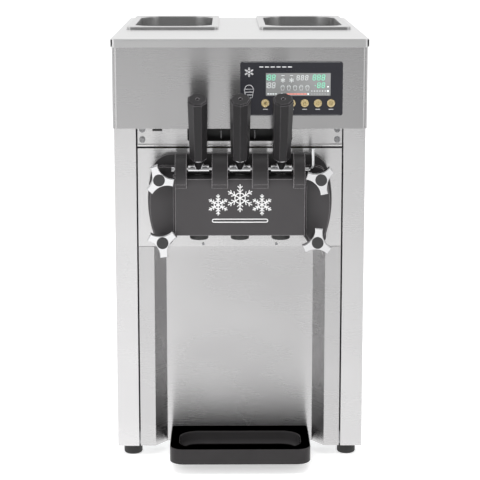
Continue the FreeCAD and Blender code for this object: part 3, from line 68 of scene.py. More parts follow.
HANDLES = ("left", "centre", "right")
CORNERS = ("upper_left", "upper_right", "lower_left", "lower_right")
BUTTONS = range(1, 7)

# Where a mix node keeps the factor and the two colours among its inputs, and the colour among its outputs.
MIX_FACTOR, MIX_FIRST, MIX_SECOND, MIX_COLOUR = 0, 6, 7, 2


def scaled(tint, share):
    """A colour with every channel multiplied by share."""
    return tuple(channel * share for channel in tint)


def linked(name, data):
    """A new object around some data, in the scene."""
    item = bpy.data.objects.new(name, data)
    bpy.context.scene.collection.objects.link(item)
    return item


# ---------------------------------------------------------------- nodes and materials

def add_node(tree, kind, **settings):
    """A new node in a tree, with some of its properties set."""
    item = tree.nodes.new(kind)
    for key, value in settings.items():
        setattr(item, key, value)
    return item


def fill_ramp(item, stops):
    """Put (position, colour) stops on a colour ramp node; a colour may be one grey number."""
    elements = item.color_ramp.elements
    while len(elements) < len(stops):
        elements.new(0.5)
    for element, (place, colour) in zip(elements, stops):
        if isinstance(colour, (int, float)):
            colour = (colour,) * 3
        element.position = place
        element.color = (*colour, 1)


class Paint:
    """A node material being put together around one Principled shader."""

    def __init__(self, name):
        self.material = bpy.data.materials.new(name)
        self.material.use_nodes = True
        self.tree = self.material.node_tree
        self.shader = self.tree.nodes["Principled BSDF"]
        self.coords = None

    def node(self, kind, **settings):
        return add_node(self.tree, kind, **settings)

    def wire(self, source, target):
        self.tree.links.new(source, target)

    def set(self, **values):
        """Constants on the shader's own sockets."""
        for key, value in values.items():
            self.shader.inputs[key.replace("_", " ")].default_value = value

    def position(self, stretch=(1, 1, 1)):
        """Object coordinates in metres, stretched per axis."""
        if self.coords is None:
            self.coords = self.node("ShaderNodeTexCoord").outputs["Object"]
        mapping = self.node("ShaderNodeMapping")
        mapping.inputs["Scale"].default_value = stretch
        self.wire(self.coords, mapping.inputs["Vector"])
        return mapping.outputs["Vector"]

    def noise(self, scale, stretch=(1, 1, 1), detail=3.0, rough=0.5):
        """Noise from 0 to 1 over the object coordinates."""
        item = self.node("ShaderNodeTexNoise")
        item.inputs["Scale"].default_value = scale
        item.inputs["Detail"].default_value = detail
        item.inputs["Roughness"].default_value = rough
        self.wire(self.position(stretch), item.inputs["Vector"])
        return item.outputs["Fac"]

    def ramp(self, source, stops):
        """Colour ramp over (position, colour) stops."""
        item = self.node("ShaderNodeValToRGB")
        fill_ramp(item, stops)
        self.wire(source, item.inputs["Fac"])
        return item.outputs["Color"]

    def span(self, source, low, high):
        """Map 0..1 to low..high."""
        item = self.node("ShaderNodeMapRange")
        item.inputs["To Min"].default_value = low
        item.inputs["To Max"].default_value = high
        self.wire(source, item.inputs["Value"])
        return item.outputs["Result"]

    def total(self, first, second):
        """The sum of two numbers."""
        item = self.node("ShaderNodeMath", operation="ADD")
        self.wire(first, item.inputs[0])
        self.wire(second, item.inputs[1])
        return item.outputs[0]

    def mix(self, factor, first, second):
        """Mix from first to second, which are colours or sockets."""
        item = self.node("ShaderNodeMix", data_type="RGBA", blend_type="MIX")
        self.wire(factor, item.inputs[MIX_FACTOR])
        for place, value in ((MIX_FIRST, first), (MIX_SECOND, second)):
            if isinstance(value, tuple):
                item.inputs[place].default_value = (*value, 1)
            else:
                self.wire(value, item.inputs[place])
        return item.outputs[MIX_COLOUR]

    def facing(self, axis):
        """The surface normal's share along an axis of the world, from -1 to 1."""
        item = self.node("ShaderNodeSeparateXYZ")
        self.wire(self.node("ShaderNodeNewGeometry").outputs["Normal"], item.inputs["Vector"])
        return item.outputs[axis]

    def smooth_step(self, axis, start, end):
        """0 to 1 along an axis of the object, between two places on it."""
        place = self.node("ShaderNodeSeparateXYZ")
        self.wire(self.position(), place.inputs["Vector"])
        item = self.node("ShaderNodeMapRange", interpolation_type="SMOOTHSTEP")
        item.inputs["From Min"].default_value = start
        item.inputs["From Max"].default_value = end
        self.wire(place.outputs[axis], item.inputs["Value"])
        return item.outputs["Result"]

    def edges(self, radius, whole=0.75, none=0.985):
        """1 along sharp edges and 0 on flat faces, from a bevelled normal against the real one."""
        bevel = self.node("ShaderNodeBevel", samples=4)
        bevel.inputs["Radius"].default_value = radius
        flat = self.node("ShaderNodeNewGeometry")
        dot = self.node("ShaderNodeVectorMath", operation="DOT_PRODUCT")
        self.wire(bevel.outputs["Normal"], dot.inputs[0])
        self.wire(flat.outputs["Normal"], dot.inputs[1])
        return self.ramp(dot.outputs["Value"], [(whole, 1.0), (none, 0.0)])

    def bump(self, height, strength, distance):
        """Relief from a height, its distance in metres."""
        item = self.node("ShaderNodeBump")
        item.inputs["Strength"].default_value = strength
        item.inputs["Distance"].default_value = distance
        self.wire(height, item.inputs["Height"])
        self.wire(item.outputs["Normal"], self.shader.inputs["Normal"])

    def colour(self, source):
        self.wire(source, self.shader.inputs["Base Color"])

    def roughness(self, source):
        self.wire(source, self.shader.inputs["Roughness"])


SHEET_TINT = (0.715, 0.708, 0.712)
LEVEL_LINES = (5, 5, 1300)
POLISH_LINES = (4, 900, 4)


def brushed_steel(name, tint=SHEET_TINT, rough=0.26, grain=LEVEL_LINES, depth=0.006, one_way=1.0,
                  side_shade_tint=None):
    """Metal sheet with a fine grain, faint handling marks and paler edges, partly wear and partly a painted
    highlight.

    grain stretches the noise of the grain per axis, and one_way is how far the gloss is drawn out across
    its lines. Faces that look sideways take the darker side tint, a painted shade, where it is given.
    """
    paint = Paint(name)
    paint.set(Metallic=1.0, Anisotropic=one_way, Anisotropic_Rotation=0.25)
    lines = paint.noise(1.0, grain, detail=4, rough=0.65)
    smudge = paint.noise(7.0, (1, 1, 1.6), detail=3)
    base = paint.mix(lines, scaled(tint, 0.975), scaled(tint, 1.025))
    # Painted shade: faces that look sideways get a darker tint.
    if side_shade_tint:
        sideways = paint.node("ShaderNodeMath", operation="ABSOLUTE")
        paint.wire(paint.facing("X"), sideways.inputs[0])
        beside = paint.mix(lines, scaled(side_shade_tint, 0.96), scaled(side_shade_tint, 1.04))
        base = paint.mix(paint.ramp(sideways.outputs[0], [(0.55, 0.0), (0.85, 1.0)]), base, beside)
    # Paler along sharp edges: partly edge wear, partly a painted highlight.
    edge_wear_and_highlight = paint.span(paint.edges(0.0006), 0.0, 0.35)
    paint.colour(paint.mix(edge_wear_and_highlight, base, (0.92, 0.92, 0.92)))
    rubbed = paint.span(smudge, rough - 0.03, rough + 0.05)
    paint.roughness(paint.total(rubbed, paint.span(lines, -0.015, 0.015)))
    paint.bump(lines, depth, 0.0002)
    tangent = paint.node("ShaderNodeTangent", direction_type="RADIAL", axis="Z")
    paint.wire(tangent.outputs["Tangent"], paint.shader.inputs["Tangent"])
    return paint.material


def polished_metal(name, tint, rough=0.08, wave=0.10):
    """Chrome or bright steel with fine hairlines, soft smudges and a painted highlight along its edges."""
    paint = Paint(name)
    paint.set(Metallic=1.0)
    hair = paint.noise(60.0, detail=6, rough=0.75)
    smudge = paint.noise(14.0, detail=2)
    base = paint.mix(smudge, scaled(tint, 0.94), tint)
    # Painted highlight: sharp edges are mixed towards near white.
    paint.colour(paint.mix(paint.edges(0.0008), base, (0.95, 0.95, 0.95)))
    paint.roughness(paint.span(hair, max(rough - 0.03, 0.02), rough + 0.06))
    paint.bump(hair, wave, 0.00008)
    return paint.material


def moulded(name, tint, rough=0.42, grain=2200.0, depth=0.18, edge=1.9, gloss=0.5,
            edge_wear_and_highlight=(0.0015, 0.75, 0.985), shaded_above=None):
    """Moulded plastic or rubber: fine skin texture, uneven sheen and paler edges, partly rubbed wear and
    partly a painted highlight.

    grain and depth are of the skin. The edges are painted edge times as bright as the rest, as rubbed wear
    and painted highlight, and the argument after gloss holds what
    Paint.edges takes for them. Higher than the height given last, the plastic is painted darker, a painted
    shade.
    """
    paint = Paint(name)
    paint.set(IOR=1.48)
    paint.shader.inputs["Specular IOR Level"].default_value = gloss
    skin = paint.noise(grain, detail=2)
    cloud = paint.noise(18.0, detail=4)
    base = paint.mix(cloud, scaled(tint, 0.88), tuple(min(channel, 1) for channel in scaled(tint, 1.12)))
    # Painted shade: the plastic is darker over the given height.
    if shaded_above:
        upper_shade_mask = paint.smooth_step("Z", shaded_above - 12 * MM, shaded_above + 12 * MM)
        base = paint.mix(upper_shade_mask, base, scaled(tint, 0.48))
    # Paler edges: partly rubbed wear, partly a painted highlight, the more so the larger edge is.
    rubbed = tuple(min(channel + 0.01, 1) for channel in scaled(tint, edge))
    paint.colour(paint.mix(paint.edges(*edge_wear_and_highlight), base, rubbed))
    paint.roughness(paint.span(cloud, rough - 0.06, rough + 0.08))
    paint.bump(skin, depth, 0.00012)
    return paint.material


def tray_black(name):
    """Black plastic, slightly greyer on the outer band; the faces that look up are painted jet black as a
    black metal, a painted shade that takes away their sheen.
    """
    paint = Paint(name)
    paint.shader.inputs["Specular IOR Level"].default_value = 0.15
    paint.shader.inputs["Specular Tint"].default_value = (0, 0, 0, 1)
    # Painted shade: faces that look up become a jet black metal with no reflection tint.
    shaded_top_mask = paint.ramp(paint.facing("Z"), [(0.80, 0.0), (0.97, 1.0)])
    paint.wire(shaded_top_mask, paint.shader.inputs["Metallic"])
    cloud = paint.noise(22.0, detail=3)
    band = paint.mix(cloud, (0.036, 0.034, 0.035), (0.048, 0.046, 0.047))
    # Jet black of the faces that look up: painted shade.
    top = paint.mix(cloud, (0.0015, 0.001, 0.0012), (0.003, 0.002, 0.0025))
    paint.colour(paint.mix(shaded_top_mask, band, top))
    paint.roughness(paint.span(cloud, 0.10, 0.17))
    paint.bump(paint.noise(1100.0, detail=2), 0.03, 0.0001)
    return paint.material


def painted(name, tint):
    """Sprayed paint with a faint orange-peel surface."""
    paint = Paint(name)
    peel = paint.noise(700.0, detail=1)
    dust = paint.noise(6.0, detail=5)
    base = paint.mix(dust, tint, scaled(tint, 0.8))
    paint.colour(paint.mix(paint.edges(0.0015), base, (0.5, 0.5, 0.5)))
    paint.roughness(paint.span(dust, 0.30, 0.50))
    paint.bump(peel, 0.15, 0.0002)
    return paint.material


def foam(name):
    """Coarse yellow insulation foam."""
    paint = Paint(name)
    cells = paint.noise(900.0, detail=3)
    paint.colour(paint.ramp(cells, [(0.3, (0.55, 0.45, 0.22)), (0.7, (0.86, 0.78, 0.52))]))
    paint.set(Roughness=0.9)
    paint.bump(cells, 0.8, 0.001)
    return paint.material


def window_glass(name):
    """Half clear grey glass."""
    paint = Paint(name)
    haze = paint.noise(40.0, detail=3)
    paint.set(IOR=1.45, Alpha=0.22)
    paint.colour(paint.mix(haze, (0.20, 0.21, 0.21), (0.26, 0.27, 0.27)))
    paint.roughness(paint.span(haze, 0.06, 0.12))
    return paint.material


def glow(name, tint, strength):
    """A lit display segment with a little unevenness."""
    paint = Paint(name)
    level = paint.noise(500.0, detail=1)
    paint.colour(paint.mix(level, tint, scaled(tint, 0.8)))
    paint.set(Roughness=0.5, Emission_Strength=strength)
    paint.wire(paint.mix(level, tint, scaled(tint, 0.85)), paint.shader.inputs["Emission Color"])
    return paint.material


def printed(name, tint):
    """Screen-printed ink."""
    paint = Paint(name)
    speckle = paint.noise(1500.0, detail=2)
    paint.colour(paint.mix(speckle, tint, scaled(tint, 0.9)))
    paint.set(Roughness=0.45)
    paint.bump(speckle, 0.05, 0.0001)
    return paint.material


MATERIALS = {
    "stainless_sheet": brushed_steel("StainlessSheet"),
    "stainless_polished": brushed_steel("StainlessPolished", (0.76, 0.76, 0.76), rough=0.34,
                                        grain=POLISH_LINES, depth=0.04, one_way=0.0),
    "galvanised_steel": brushed_steel("Galvanised", (0.52, 0.53, 0.54), rough=0.45, grain=(5, 5, 60),
                                      depth=0.05, one_way=0.0),
    "barrel_steel": brushed_steel("BarrelSteel", (0.66, 0.66, 0.67), rough=0.3),
    "foot_rubber": moulded("FootRubber", (0.018, 0.018, 0.018), rough=0.6, grain=1800, depth=0.4),
    "seal_rubber": moulded("SealRubber", (0.62, 0.60, 0.56), rough=0.55),
    # The door's bright edges and creases are a painted highlight, and its upper part is painted darker, a
    # painted shade.
    "door_plastic": moulded("DoorPlastic", (0.056, 0.053, 0.055), rough=0.30, grain=2600, depth=0.08,
                            edge=5.0, gloss=0.22, edge_wear_and_highlight=(0.002, 0.80, 0.99), shaded_above=0.487),
    "nozzle_plastic": moulded("NozzlePlastic", (0.025, 0.025, 0.025), rough=0.38),
    # The grips' bright edge lines are a painted highlight.
    "grip_plastic": moulded("GripPlastic", (0.017, 0.016, 0.017), rough=0.30, grain=2400, depth=0.08,
                            edge=24.0, gloss=0.20, edge_wear_and_highlight=(0.0011, 0.92, 0.996)),
    "chrome_fittings": polished_metal("Chrome", (0.72, 0.72, 0.73)),
    "cap_plastic": moulded("CapPlastic", (0.030, 0.030, 0.031), rough=0.5, grain=2600, depth=0.25),
    "zinc_fasteners": polished_metal("ZincFasteners", (0.26, 0.26, 0.27), rough=0.16, wave=0.2),
    "piston_plastic": moulded("PistonPlastic", (0.74, 0.74, 0.72), rough=0.35),
    "tray_plastic": tray_black("TrayPlastic"),
    "insulation_foam": foam("Foam"),
    "motor_paint": painted("MotorPaint", (0.30, 0.32, 0.35)),
    "compressor_paint": painted("CompressorPaint", (0.015, 0.015, 0.016)),
    "condenser_fins": brushed_steel("Fins", (0.70, 0.71, 0.72), rough=0.35, grain=(60, 60, 60), depth=0.2,
                                    one_way=0.0),
    "fan_plastic": moulded("FanPlastic", (0.035, 0.035, 0.036)),
    "panel_film": moulded("PanelFilm", (0.0155, 0.0155, 0.0215), rough=0.30, grain=1500, depth=0.03,
                          edge=1.5),
    "display_glass": window_glass("DisplayGlass"),
    "button_gold": polished_metal("ButtonGold", (0.90, 0.72, 0.38), rough=0.24, wave=0.15),
    "board_laminate": moulded("BoardLaminate", (0.03, 0.18, 0.08), rough=0.4),
    "switch_plastic": moulded("SwitchPlastic", (0.015, 0.015, 0.015), rough=0.3),
    "gland_plastic": moulded("GlandPlastic", (0.02, 0.02, 0.02), rough=0.5),
}

# Painted light and shade: copies of the sheet steel painted lighter for the faceplate, upper plate and side
# panels, darker for the head, the bay and the pans, and darker still on sideways faces of the head and side
# panels.
SIDE_SHADE_TINT = (0.50, 0.496, 0.50)
LIT_FACE_TINT = (0.83, 0.823, 0.827)
SHADED_HEAD_STEEL = brushed_steel("ShadedHeadSteel", (0.565, 0.56, 0.563), side_shade_tint=SIDE_SHADE_TINT)
LIT_FACE_STEEL = brushed_steel("LitFaceSteel", LIT_FACE_TINT)
LIT_SHADED_PANEL_STEEL = brushed_steel("LitShadedPanelSteel", LIT_FACE_TINT, side_shade_tint=SIDE_SHADE_TINT)
SHADED_BAY_STEEL = brushed_steel("ShadedBaySteel", (0.69, 0.683, 0.687))
SHADED_PAN_STEEL = brushed_steel("ShadedPanSteel", (0.66, 0.66, 0.66), rough=0.30, grain=POLISH_LINES, depth=0.04,
                          one_way=0.0)
LIT_AND_SHADED_LOOK = {
    "head_panel": SHADED_HEAD_STEEL,
    "faceplate": LIT_FACE_STEEL,
    "upper_plate": LIT_FACE_STEEL,
    "side_panel_left": LIT_SHADED_PANEL_STEEL,
    "side_panel_right": LIT_SHADED_PANEL_STEEL,
    "lower_front_panel": SHADED_BAY_STEEL,
    "hopper_left": SHADED_PAN_STEEL,
    "hopper_right": SHADED_PAN_STEEL,
}


def look_of(node):
    """A node's material: some sheets take a copy of the steel painted lighter or darker, a painted light
    and shade; every other node takes its slot's.
    """
    return LIT_AND_SHADED_LOOK.get(node, MATERIALS[SLOT_OF[node]])


def dress(obj, material):
    """Give an object one material instead of what it had."""
    obj.data.materials.clear()
    obj.data.materials.append(material)


for node_name, node_object in frame["nodes"].items():
    dress(node_object, look_of(node_name))


# ---------------------------------------------------------------- mesh tools

def new_piece(name, mesh, body, slot, material=None):
    """Link a mesh as a piece that rides on a CAD body."""
    piece = linked(name, mesh)
    dress(piece, material or MATERIALS[slot])
    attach(piece, body)
    return piece


def shade(mesh, angle=32):
    """Smooth shading, broken where faces meet at more than the angle, in degrees."""
    for polygon in mesh.polygons:
        polygon.use_smooth = True
    mesh.set_sharp_from_angle(angle=math.radians(angle))


def bevelled(obj, width):
    """Apply a bevel to the sharp edges of an object's mesh, with normals that keep flat faces flat."""
    shade(obj.data)
    modifier = obj.modifiers.new("Bevel", "BEVEL")
    modifier.width = width
    modifier.segments = 3
    modifier.limit_method = "ANGLE"
    modifier.angle_limit = math.radians(30)
    modifier.miter_outer = "MITER_ARC"
    modifier.use_clamp_overlap = True
    weighted = obj.modifiers.new("Weighted", "WEIGHTED_NORMAL")
    weighted.weight = 100
    weighted.keep_sharp = True
    depsgraph = bpy.context.evaluated_depsgraph_get()
    mesh = bpy.data.meshes.new_from_object(obj.evaluated_get(depsgraph))
    obj.modifiers.clear()
    obj.data = mesh


def refined(node, width):
    """A copy of a CAD node with clean faces and really rounded edges, which stands for the node."""
    mesh = frame["nodes"][node].data.copy()
    work = bmesh.new()
    work.from_mesh(mesh)
    bmesh.ops.remove_doubles(work, verts=work.verts, dist=2e-6)
    bmesh.ops.dissolve_limit(work, angle_limit=math.radians(0.6), verts=work.verts, edges=work.edges)
    work.to_mesh(mesh)
    work.free()
    piece = new_piece(f"{node}_piece", mesh, BODY_OF[node], SLOT_OF[node], look_of(node))
    bevelled(piece, width)
    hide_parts(node)
    return piece


# ---------------------------------------------------------------- CAD pieces with finished edges

# Radii in millimetres.
EDGE_ROUNDING = {
    "door": 1.2,
    **{f"handle_{side}": 0.5 for side in HANDLES},
    **{f"handle_fork_{side}": 0.5 for side in HANDLES},
    **{f"knob_{corner}": 1.1 for corner in CORNERS},
    **{f"knob_cap_{corner}": 0.8 for corner in CORNERS},
    "head_panel": 0.5,
    "faceplate": 0.5,
    "upper_plate": 0.35,
    "lower_front_panel": 0.45,
    "drip_tray": 1.4,
    "nozzles": 0.5,
    "feet": 0.8,
    "panel_screws": 0.25,
    "power_switch": 0.6,
    "control_panel": 0.25,
    "cable_gland": 0.5,
    **{f"button_{index}": 0.7 for index in BUTTONS},
}

for node_name, rounding in EDGE_ROUNDING.items():
    refined(node_name, rounding * MM)


# ---------------------------------------------------------------- line art, print and display

def line_art(name, strokes, radius, y, body, slot, material):
    """Raised round lines drawn on the plane y; a stroke is a list of (x, z) points."""
    curve = bpy.data.curves.new(name, "CURVE")
    curve.dimensions = "3D"
    curve.bevel_depth = radius
    curve.bevel_resolution = 2
    curve.use_fill_caps = True
    for stroke in strokes:
        spline = curve.splines.new("POLY")
        spline.points.add(len(stroke) - 1)
        for point, (x, z) in zip(spline.points, stroke):
            point.co = (x, y, z, 1)
    source = bpy.data.objects.new(name, curve)
    mesh = bpy.data.meshes.new_from_object(source)
    bpy.data.objects.remove(source)
    shade(mesh, 50)
    new_piece(name, mesh, body, slot, material)


def turned(stroke, middle, scale, angle):
    """A stroke in its own coordinates, scaled, turned and moved to its place."""
    cosine, sine = math.cos(angle), math.sin(angle)
    return [(middle[0] + scale * (x * cosine - z * sine), middle[1] + scale * (x * sine + z * cosine))
            for x, z in stroke]


def snow_crystal(middle, reach):
    """Strokes of six arms with two pairs of branches each."""
    arm = [[(0, 0), (0, 1)]]
    for height, spread in ((0.42, 0.20), (0.70, 0.17)):
        arm.append([(-spread, height + spread), (0, height), (spread, height + spread)])
    strokes = []
    for index in range(6):
        strokes += [turned(stroke, middle, reach, math.radians(60 * index)) for stroke in arm]
    return strokes


def arc(middle, radius, start, end, steps=16):
    """Points along an arc between two angles in degrees."""
    x, z = middle
    angles = [math.radians(start + (end - start) * index / steps) for index in range(steps + 1)]
    return [(x + radius * math.cos(angle), z + radius * math.sin(angle)) for angle in angles]


# Half width at the brim and at the foot, their difference, and the depth of a cup one unit in size.
CUP_BRIM, CUP_FOOT, CUP_TAPER, CUP_DEPTH = 0.42, 0.26, 0.16, 0.75


def sundae_cup(middle, size):
    """A plain tapered cup with a round scoop over it."""
    x, z = middle
    brim, foot, floor = CUP_BRIM * size, CUP_FOOT * size, z - CUP_DEPTH * size
    cup = [(x - brim, z), (x - foot, floor), (x + foot, floor), (x + brim, z), (x - brim, z)]
    return [cup, arc((x, z), 0.36 * size, 0, 180)]


def inlay(name, shapes, y, thickness, body, slot, material):
    """Flat shapes of a print or a display: closed outlines of (x, z) points, thickened to the front."""
    mesh = bpy.data.meshes.new(name)
    work = bmesh.new()
    for shape in shapes:
        face = work.faces.new([work.verts.new((x, y, z)) for x, z in shape])
        side = bmesh.ops.extrude_face_region(work, geom=[face])
        moved = [item for item in side["geom"] if isinstance(item, bmesh.types.BMVert)]
        bmesh.ops.translate(work, verts=moved, vec=(0, -thickness, 0))
    bmesh.ops.recalc_face_normals(work, faces=work.faces)
    work.to_mesh(mesh)
    work.free()
    new_piece(name, mesh, body, slot, material)


def bar(x, z, width, height):
    """Outline of an upright or lying rectangle around its middle."""
    return [(x - width / 2, z - height / 2), (x + width / 2, z - height / 2),
            (x + width / 2, z + height / 2), (x - width / 2, z + height / 2)]


def dot(x, z, radius):
    """Outline of a round spot with fourteen sides."""
    return arc((x, z), radius, 0, 360 - 360 / 14, 13)


# Places of the seven segments across and up, in half heights of the figure, and whether they stand upright.
SEGMENTS_OF_8 = ((0, 1, False), (0, 0, False), (0, -1, False), (-0.5, 0.5, True), (0.5, 0.5, True),
                 (-0.5, -0.5, True), (0.5, -0.5, True))
LEAN_OF_8 = 0.10


def digit_segments(x, z, height):
    """Outlines of a seven-segment figure: pointed bars around a leaning 8."""
    half = height / 2
    pen = height * 0.048
    shapes = []
    for across, up, upright in SEGMENTS_OF_8:
        run = half * (0.86 if upright else 0.92) / 2
        centre = (x + across * half * 1.05, z + up * half)
        outline = [(-run, 0), (-run + pen, pen), (run - pen, pen),
                   (run, 0), (run - pen, -pen), (-run + pen, -pen)]
        shape = turned(outline, centre, 1.0, math.radians(90 if upright else 0))
        shapes.append([(px + (pz - z) * LEAN_OF_8, pz) for px, pz in shape])
    return shapes


INK = printed("PanelInk", (0.78, 0.78, 0.80))
GREY_INK = printed("DisplayGrey", (0.42, 0.43, 0.43))
DARK_INK = printed("ButtonInk", (0.10, 0.07, 0.03))
GREEN_GLOW = glow("SegmentGreen", (0.16, 0.80, 0.50), 0.55)
WHITE_GLOW = glow("SegmentWhite", (0.78, 0.82, 0.82), 0.25)
RED_GLOW = glow("SegmentRed", (0.85, 0.25, 0.20), 0.30)


def lcd(name):
    """Grey display behind a hard clear face."""
    paint = Paint(name)
    cells = paint.noise(1.0, (2600, 1, 2600), detail=0)
    shadow = paint.noise(26.0, detail=1)
    tone = paint.mix(shadow, (0.20, 0.205, 0.205), (0.33, 0.335, 0.335))
    paint.colour(paint.mix(paint.span(cells, 0.0, 0.12), tone, (0.12, 0.12, 0.12)))
    paint.set(Roughness=0.14)
    return paint.material


def display_face():
    """The lit display: seven-segment figures, small crystals and cups between them, and a red bar below."""
    low, high = SCREEN
    y = low.y - 0.04 * MM
    piece = refined("display_window", 0.15 * MM)
    dress(piece, lcd("DisplayFace"))

    def at(x, z):
        """A place on the window, in millimetres to the right of and below its upper left corner."""
        return low.x + x * MM, high.z - z * MM

    green, white, grey = [], [], []
    upper, lower, base = 7.2, 20.0, 34.4
    large, small = 8.4 * MM, 7.4 * MM
    for row, shapes in ((upper, green), (lower, white)):
        for index in range(2):
            shapes += digit_segments(*at(5.6 + 7.2 * index, row), large)
        shapes += [bar(*at(1.8, row + drop), 0.7 * MM, 3.4 * MM) for drop in (-2.2, 2.2)]
    for index in range(3):
        white += digit_segments(*at(53.0 + 7.0 * index, 7.6), small)
        green += digit_segments(*at(79.6 + 7.4 * index, upper), large)
    for index in range(2):
        green += digit_segments(*at(87.0 + 7.4 * index, lower), 8.0 * MM)
        white.append(bar(*at(28.0 + 14.0 * index, 4.0), 5.0 * MM, 0.7 * MM))
    green.append(dot(*at(81.0, 20.5), 0.6 * MM))
    white.append(dot(*at(102.0, 22.5), 1.3 * MM))
    for index in range(7):
        white.append(dot(*at(75.5 + 4.4 * index, 29.5), (0.8 if index < 6 else 1.7) * MM))
        grey.append(bar(*at(75.5 + 4.4 * index, 34.5), 2.6 * MM, 1.2 * MM))
    white += [dot(*at(across, base), 1.5 * MM) for across in (26.5, 69.5)]
    white += [bar(*at(4.0 + 4.2 * index, 34.2), 3.0 * MM, 1.6 * MM) for index in range(4)]
    red = [bar(*at(31.0 + 5.6 * index, base), 5.0 * MM, 1.8 * MM) for index in range(7)]
    for name, shapes, ink in (("display_green", green, GREEN_GLOW), ("display_white", white, WHITE_GLOW),
                              ("display_grey", grey, GREY_INK), ("display_red", red, RED_GLOW)):
        inlay(name, shapes, y, 0.10 * MM, "cabinet", "display_glass", ink)
    symbols = []
    for index in range(2):
        symbols += snow_crystal(at(28.0 + 14.0 * index, 11.6), 4.0 * MM)
    for index in range(5):
        symbols += sundae_cup(at(27.5 + 10.2 * index, 22.5), 7.2 * MM)
    line_art("display_symbols", symbols, 0.22 * MM, y, "cabinet", "display_glass", WHITE_GLOW)


def panel_print():
    """Print on the overlay: a crystal over a barred cup, rules at the top and under the buttons, a rim."""
    low, high = PANEL
    y = low.y + 0.02 * MM
    centre = (low.x + high.x) / 2
    size = 19 * MM
    column = low.x + 14.5 * MM
    cup = (column, high.z - 45 * MM)
    art = snow_crystal((column, high.z - 17 * MM), 8.0 * MM) + sundae_cup(cup, size)
    for drop in (0.25, 0.5):
        half = (CUP_BRIM - CUP_TAPER * drop / CUP_DEPTH) * size
        art.append([(cup[0] - half, cup[1] - drop * size), (cup[0] + half, cup[1] - drop * size)])
    line_art("panel_symbol", art, 0.42 * MM, y, "cabinet", "panel_film", INK)
    rules = []
    for index in range(6):
        rules.append(bar(low.x + (34.5 + 9.4 * index) * MM, high.z - 8.5 * MM, 6.6 * MM, 1.5 * MM))
    for index in BUTTONS:
        start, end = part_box(f"button_{index}")
        rules.append(bar((start.x + end.x) / 2, start.z - 3.4 * MM, 7.5 * MM, 0.9 * MM))
    inlay("panel_rules", rules, y, 0.06 * MM, "cabinet", "panel_film", INK)
    inset = 0.9 * MM
    span = high.x - low.x - 9 * MM
    rim = [bar(centre, height, span, 0.25 * MM) for height in (high.z - inset, low.z + inset)]
    inlay("panel_rim", rim, y, 0.03 * MM, "cabinet", "panel_film", GREY_INK)


def button_marks():
    """A raised ring and a small symbol on each gold button."""
    for index in BUTTONS:
        low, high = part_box(f"button_{index}")
        x, z = (low.x + high.x) / 2, (low.z + high.z) / 2
        radius = (high.x - low.x) / 2
        y = low.y + 0.02 * MM
        body = BODY_OF[f"button_{index}"]
        ring = [arc((x, z), radius * 0.80, 0, 360, 40)]
        line_art(f"button_{index}_ring", ring, 0.22 * MM, y, body, "button_gold", MATERIALS["button_gold"])
        left, right, upper = x - 1.6 * MM, x + 1.6 * MM, z + 1 * MM
        marks = {
            1: snow_crystal((x, z), 0.40 * radius),
            2: [arc((x, z), 0.34 * radius, 30, 330)],
            3: [[(left, upper), (right, upper), (x, z - 1.8 * MM), (left, upper)]],
            4: sundae_cup((x, z), 0.75 * radius),
            5: [arc((x, z), 0.30 * radius, 0, 360)],
            6: [arc((x, z), 0.16 * radius, 0, 360), arc((x, z), 0.42 * radius, 0, 360)],
        }
        line_art(f"button_{index}_mark", marks[index], 0.26 * MM, y, body, "button_gold", DARK_INK)


DOOR_DEPTH = 55 * MM
EMBLEM_HEIGHT = 458 * MM
EMBLEM_WHITE = moulded("EmblemWhite", (0.80, 0.80, 0.80), rough=0.35, grain=1800, depth=0.05, edge=1.0)


def door_emblem():
    """Raised white emblem: three snow crystals with a ring in each, over a long frame with round ends."""
    y = FRONT - DOOR_DEPTH
    middle = (0, EMBLEM_HEIGHT)
    art = snow_crystal(middle, 23 * MM)
    for side in (-1, 1):
        beside = (side * 36 * MM, 447 * MM)
        art += snow_crystal(beside, 17.5 * MM)
        art.append(arc(beside, 6.5 * MM, 0, 360, 24))
    art.append(arc(middle, 8.5 * MM, 0, 360, 28))
    half, level, round_end = 43 * MM, 420.5 * MM, 2.5 * MM
    for height in (level + round_end, level - round_end):
        art.append([(-half, height), (half, height)])
    art.append(arc((-half, level), round_end, 90, 270, 10))
    art.append(arc((half, level), round_end, -90, 90, 10))
    line_art("door_emblem", art, 0.85 * MM, y, "cabinet", "door_plastic", EMBLEM_WHITE)


# ---------------------------------------------------------------- switches behind the handles, and screws

def cuboid(work, low, high):
    """A box in a bmesh between two corners; gives its faces as a dict by direction."""
    ends = (low, high)
    corners = {(i, j, k): work.verts.new((ends[i][0], ends[j][1], ends[k][2]))
               for i in (0, 1) for j in (0, 1) for k in (0, 1)}

    def face(*keys):
        return work.faces.new([corners[key] for key in keys])

    return {
        "front": face((0, 0, 0), (1, 0, 0), (1, 0, 1), (0, 0, 1)),
        "rear": face((1, 1, 0), (0, 1, 0), (0, 1, 1), (1, 1, 1)),
        "left": face((0, 1, 0), (0, 0, 0), (0, 0, 1), (0, 1, 1)),
        "right": face((1, 0, 0), (1, 1, 0), (1, 1, 1), (1, 0, 1)),
        "under": face((0, 1, 0), (1, 1, 0), (1, 0, 0), (0, 0, 0)),
        "top": face((0, 0, 1), (1, 0, 1), (1, 1, 1), (0, 1, 1)),
    }


def made(name, work, body, slot, rounding=0.0):
    """A piece from a bmesh, with its edges rounded where a radius is given."""
    mesh = bpy.data.meshes.new(name)
    work.to_mesh(mesh)
    work.free()
    piece = new_piece(name, mesh, body, slot)
    if rounding:
        bevelled(piece, rounding)
    return piece


# Half width, floor and ceiling of the well behind the slot in the upper plate.
WELL_HALF, WELL_LOW, WELL_HIGH = 90 * MM, 541 * MM, 593 * MM
# Places of the micro switches across, half widths of a case and of a blade, and where they start and end.
SWITCH_PLACES = (-31 * MM, 25 * MM, 81 * MM)
CASE_HALF, CASE_LOW, CASE_HIGH = 5 * MM, 572 * MM, 592 * MM
BLADE_HALF, BLADE_LOW, BLADE_HIGH = 1.5 * MM, 549 * MM, 588 * MM


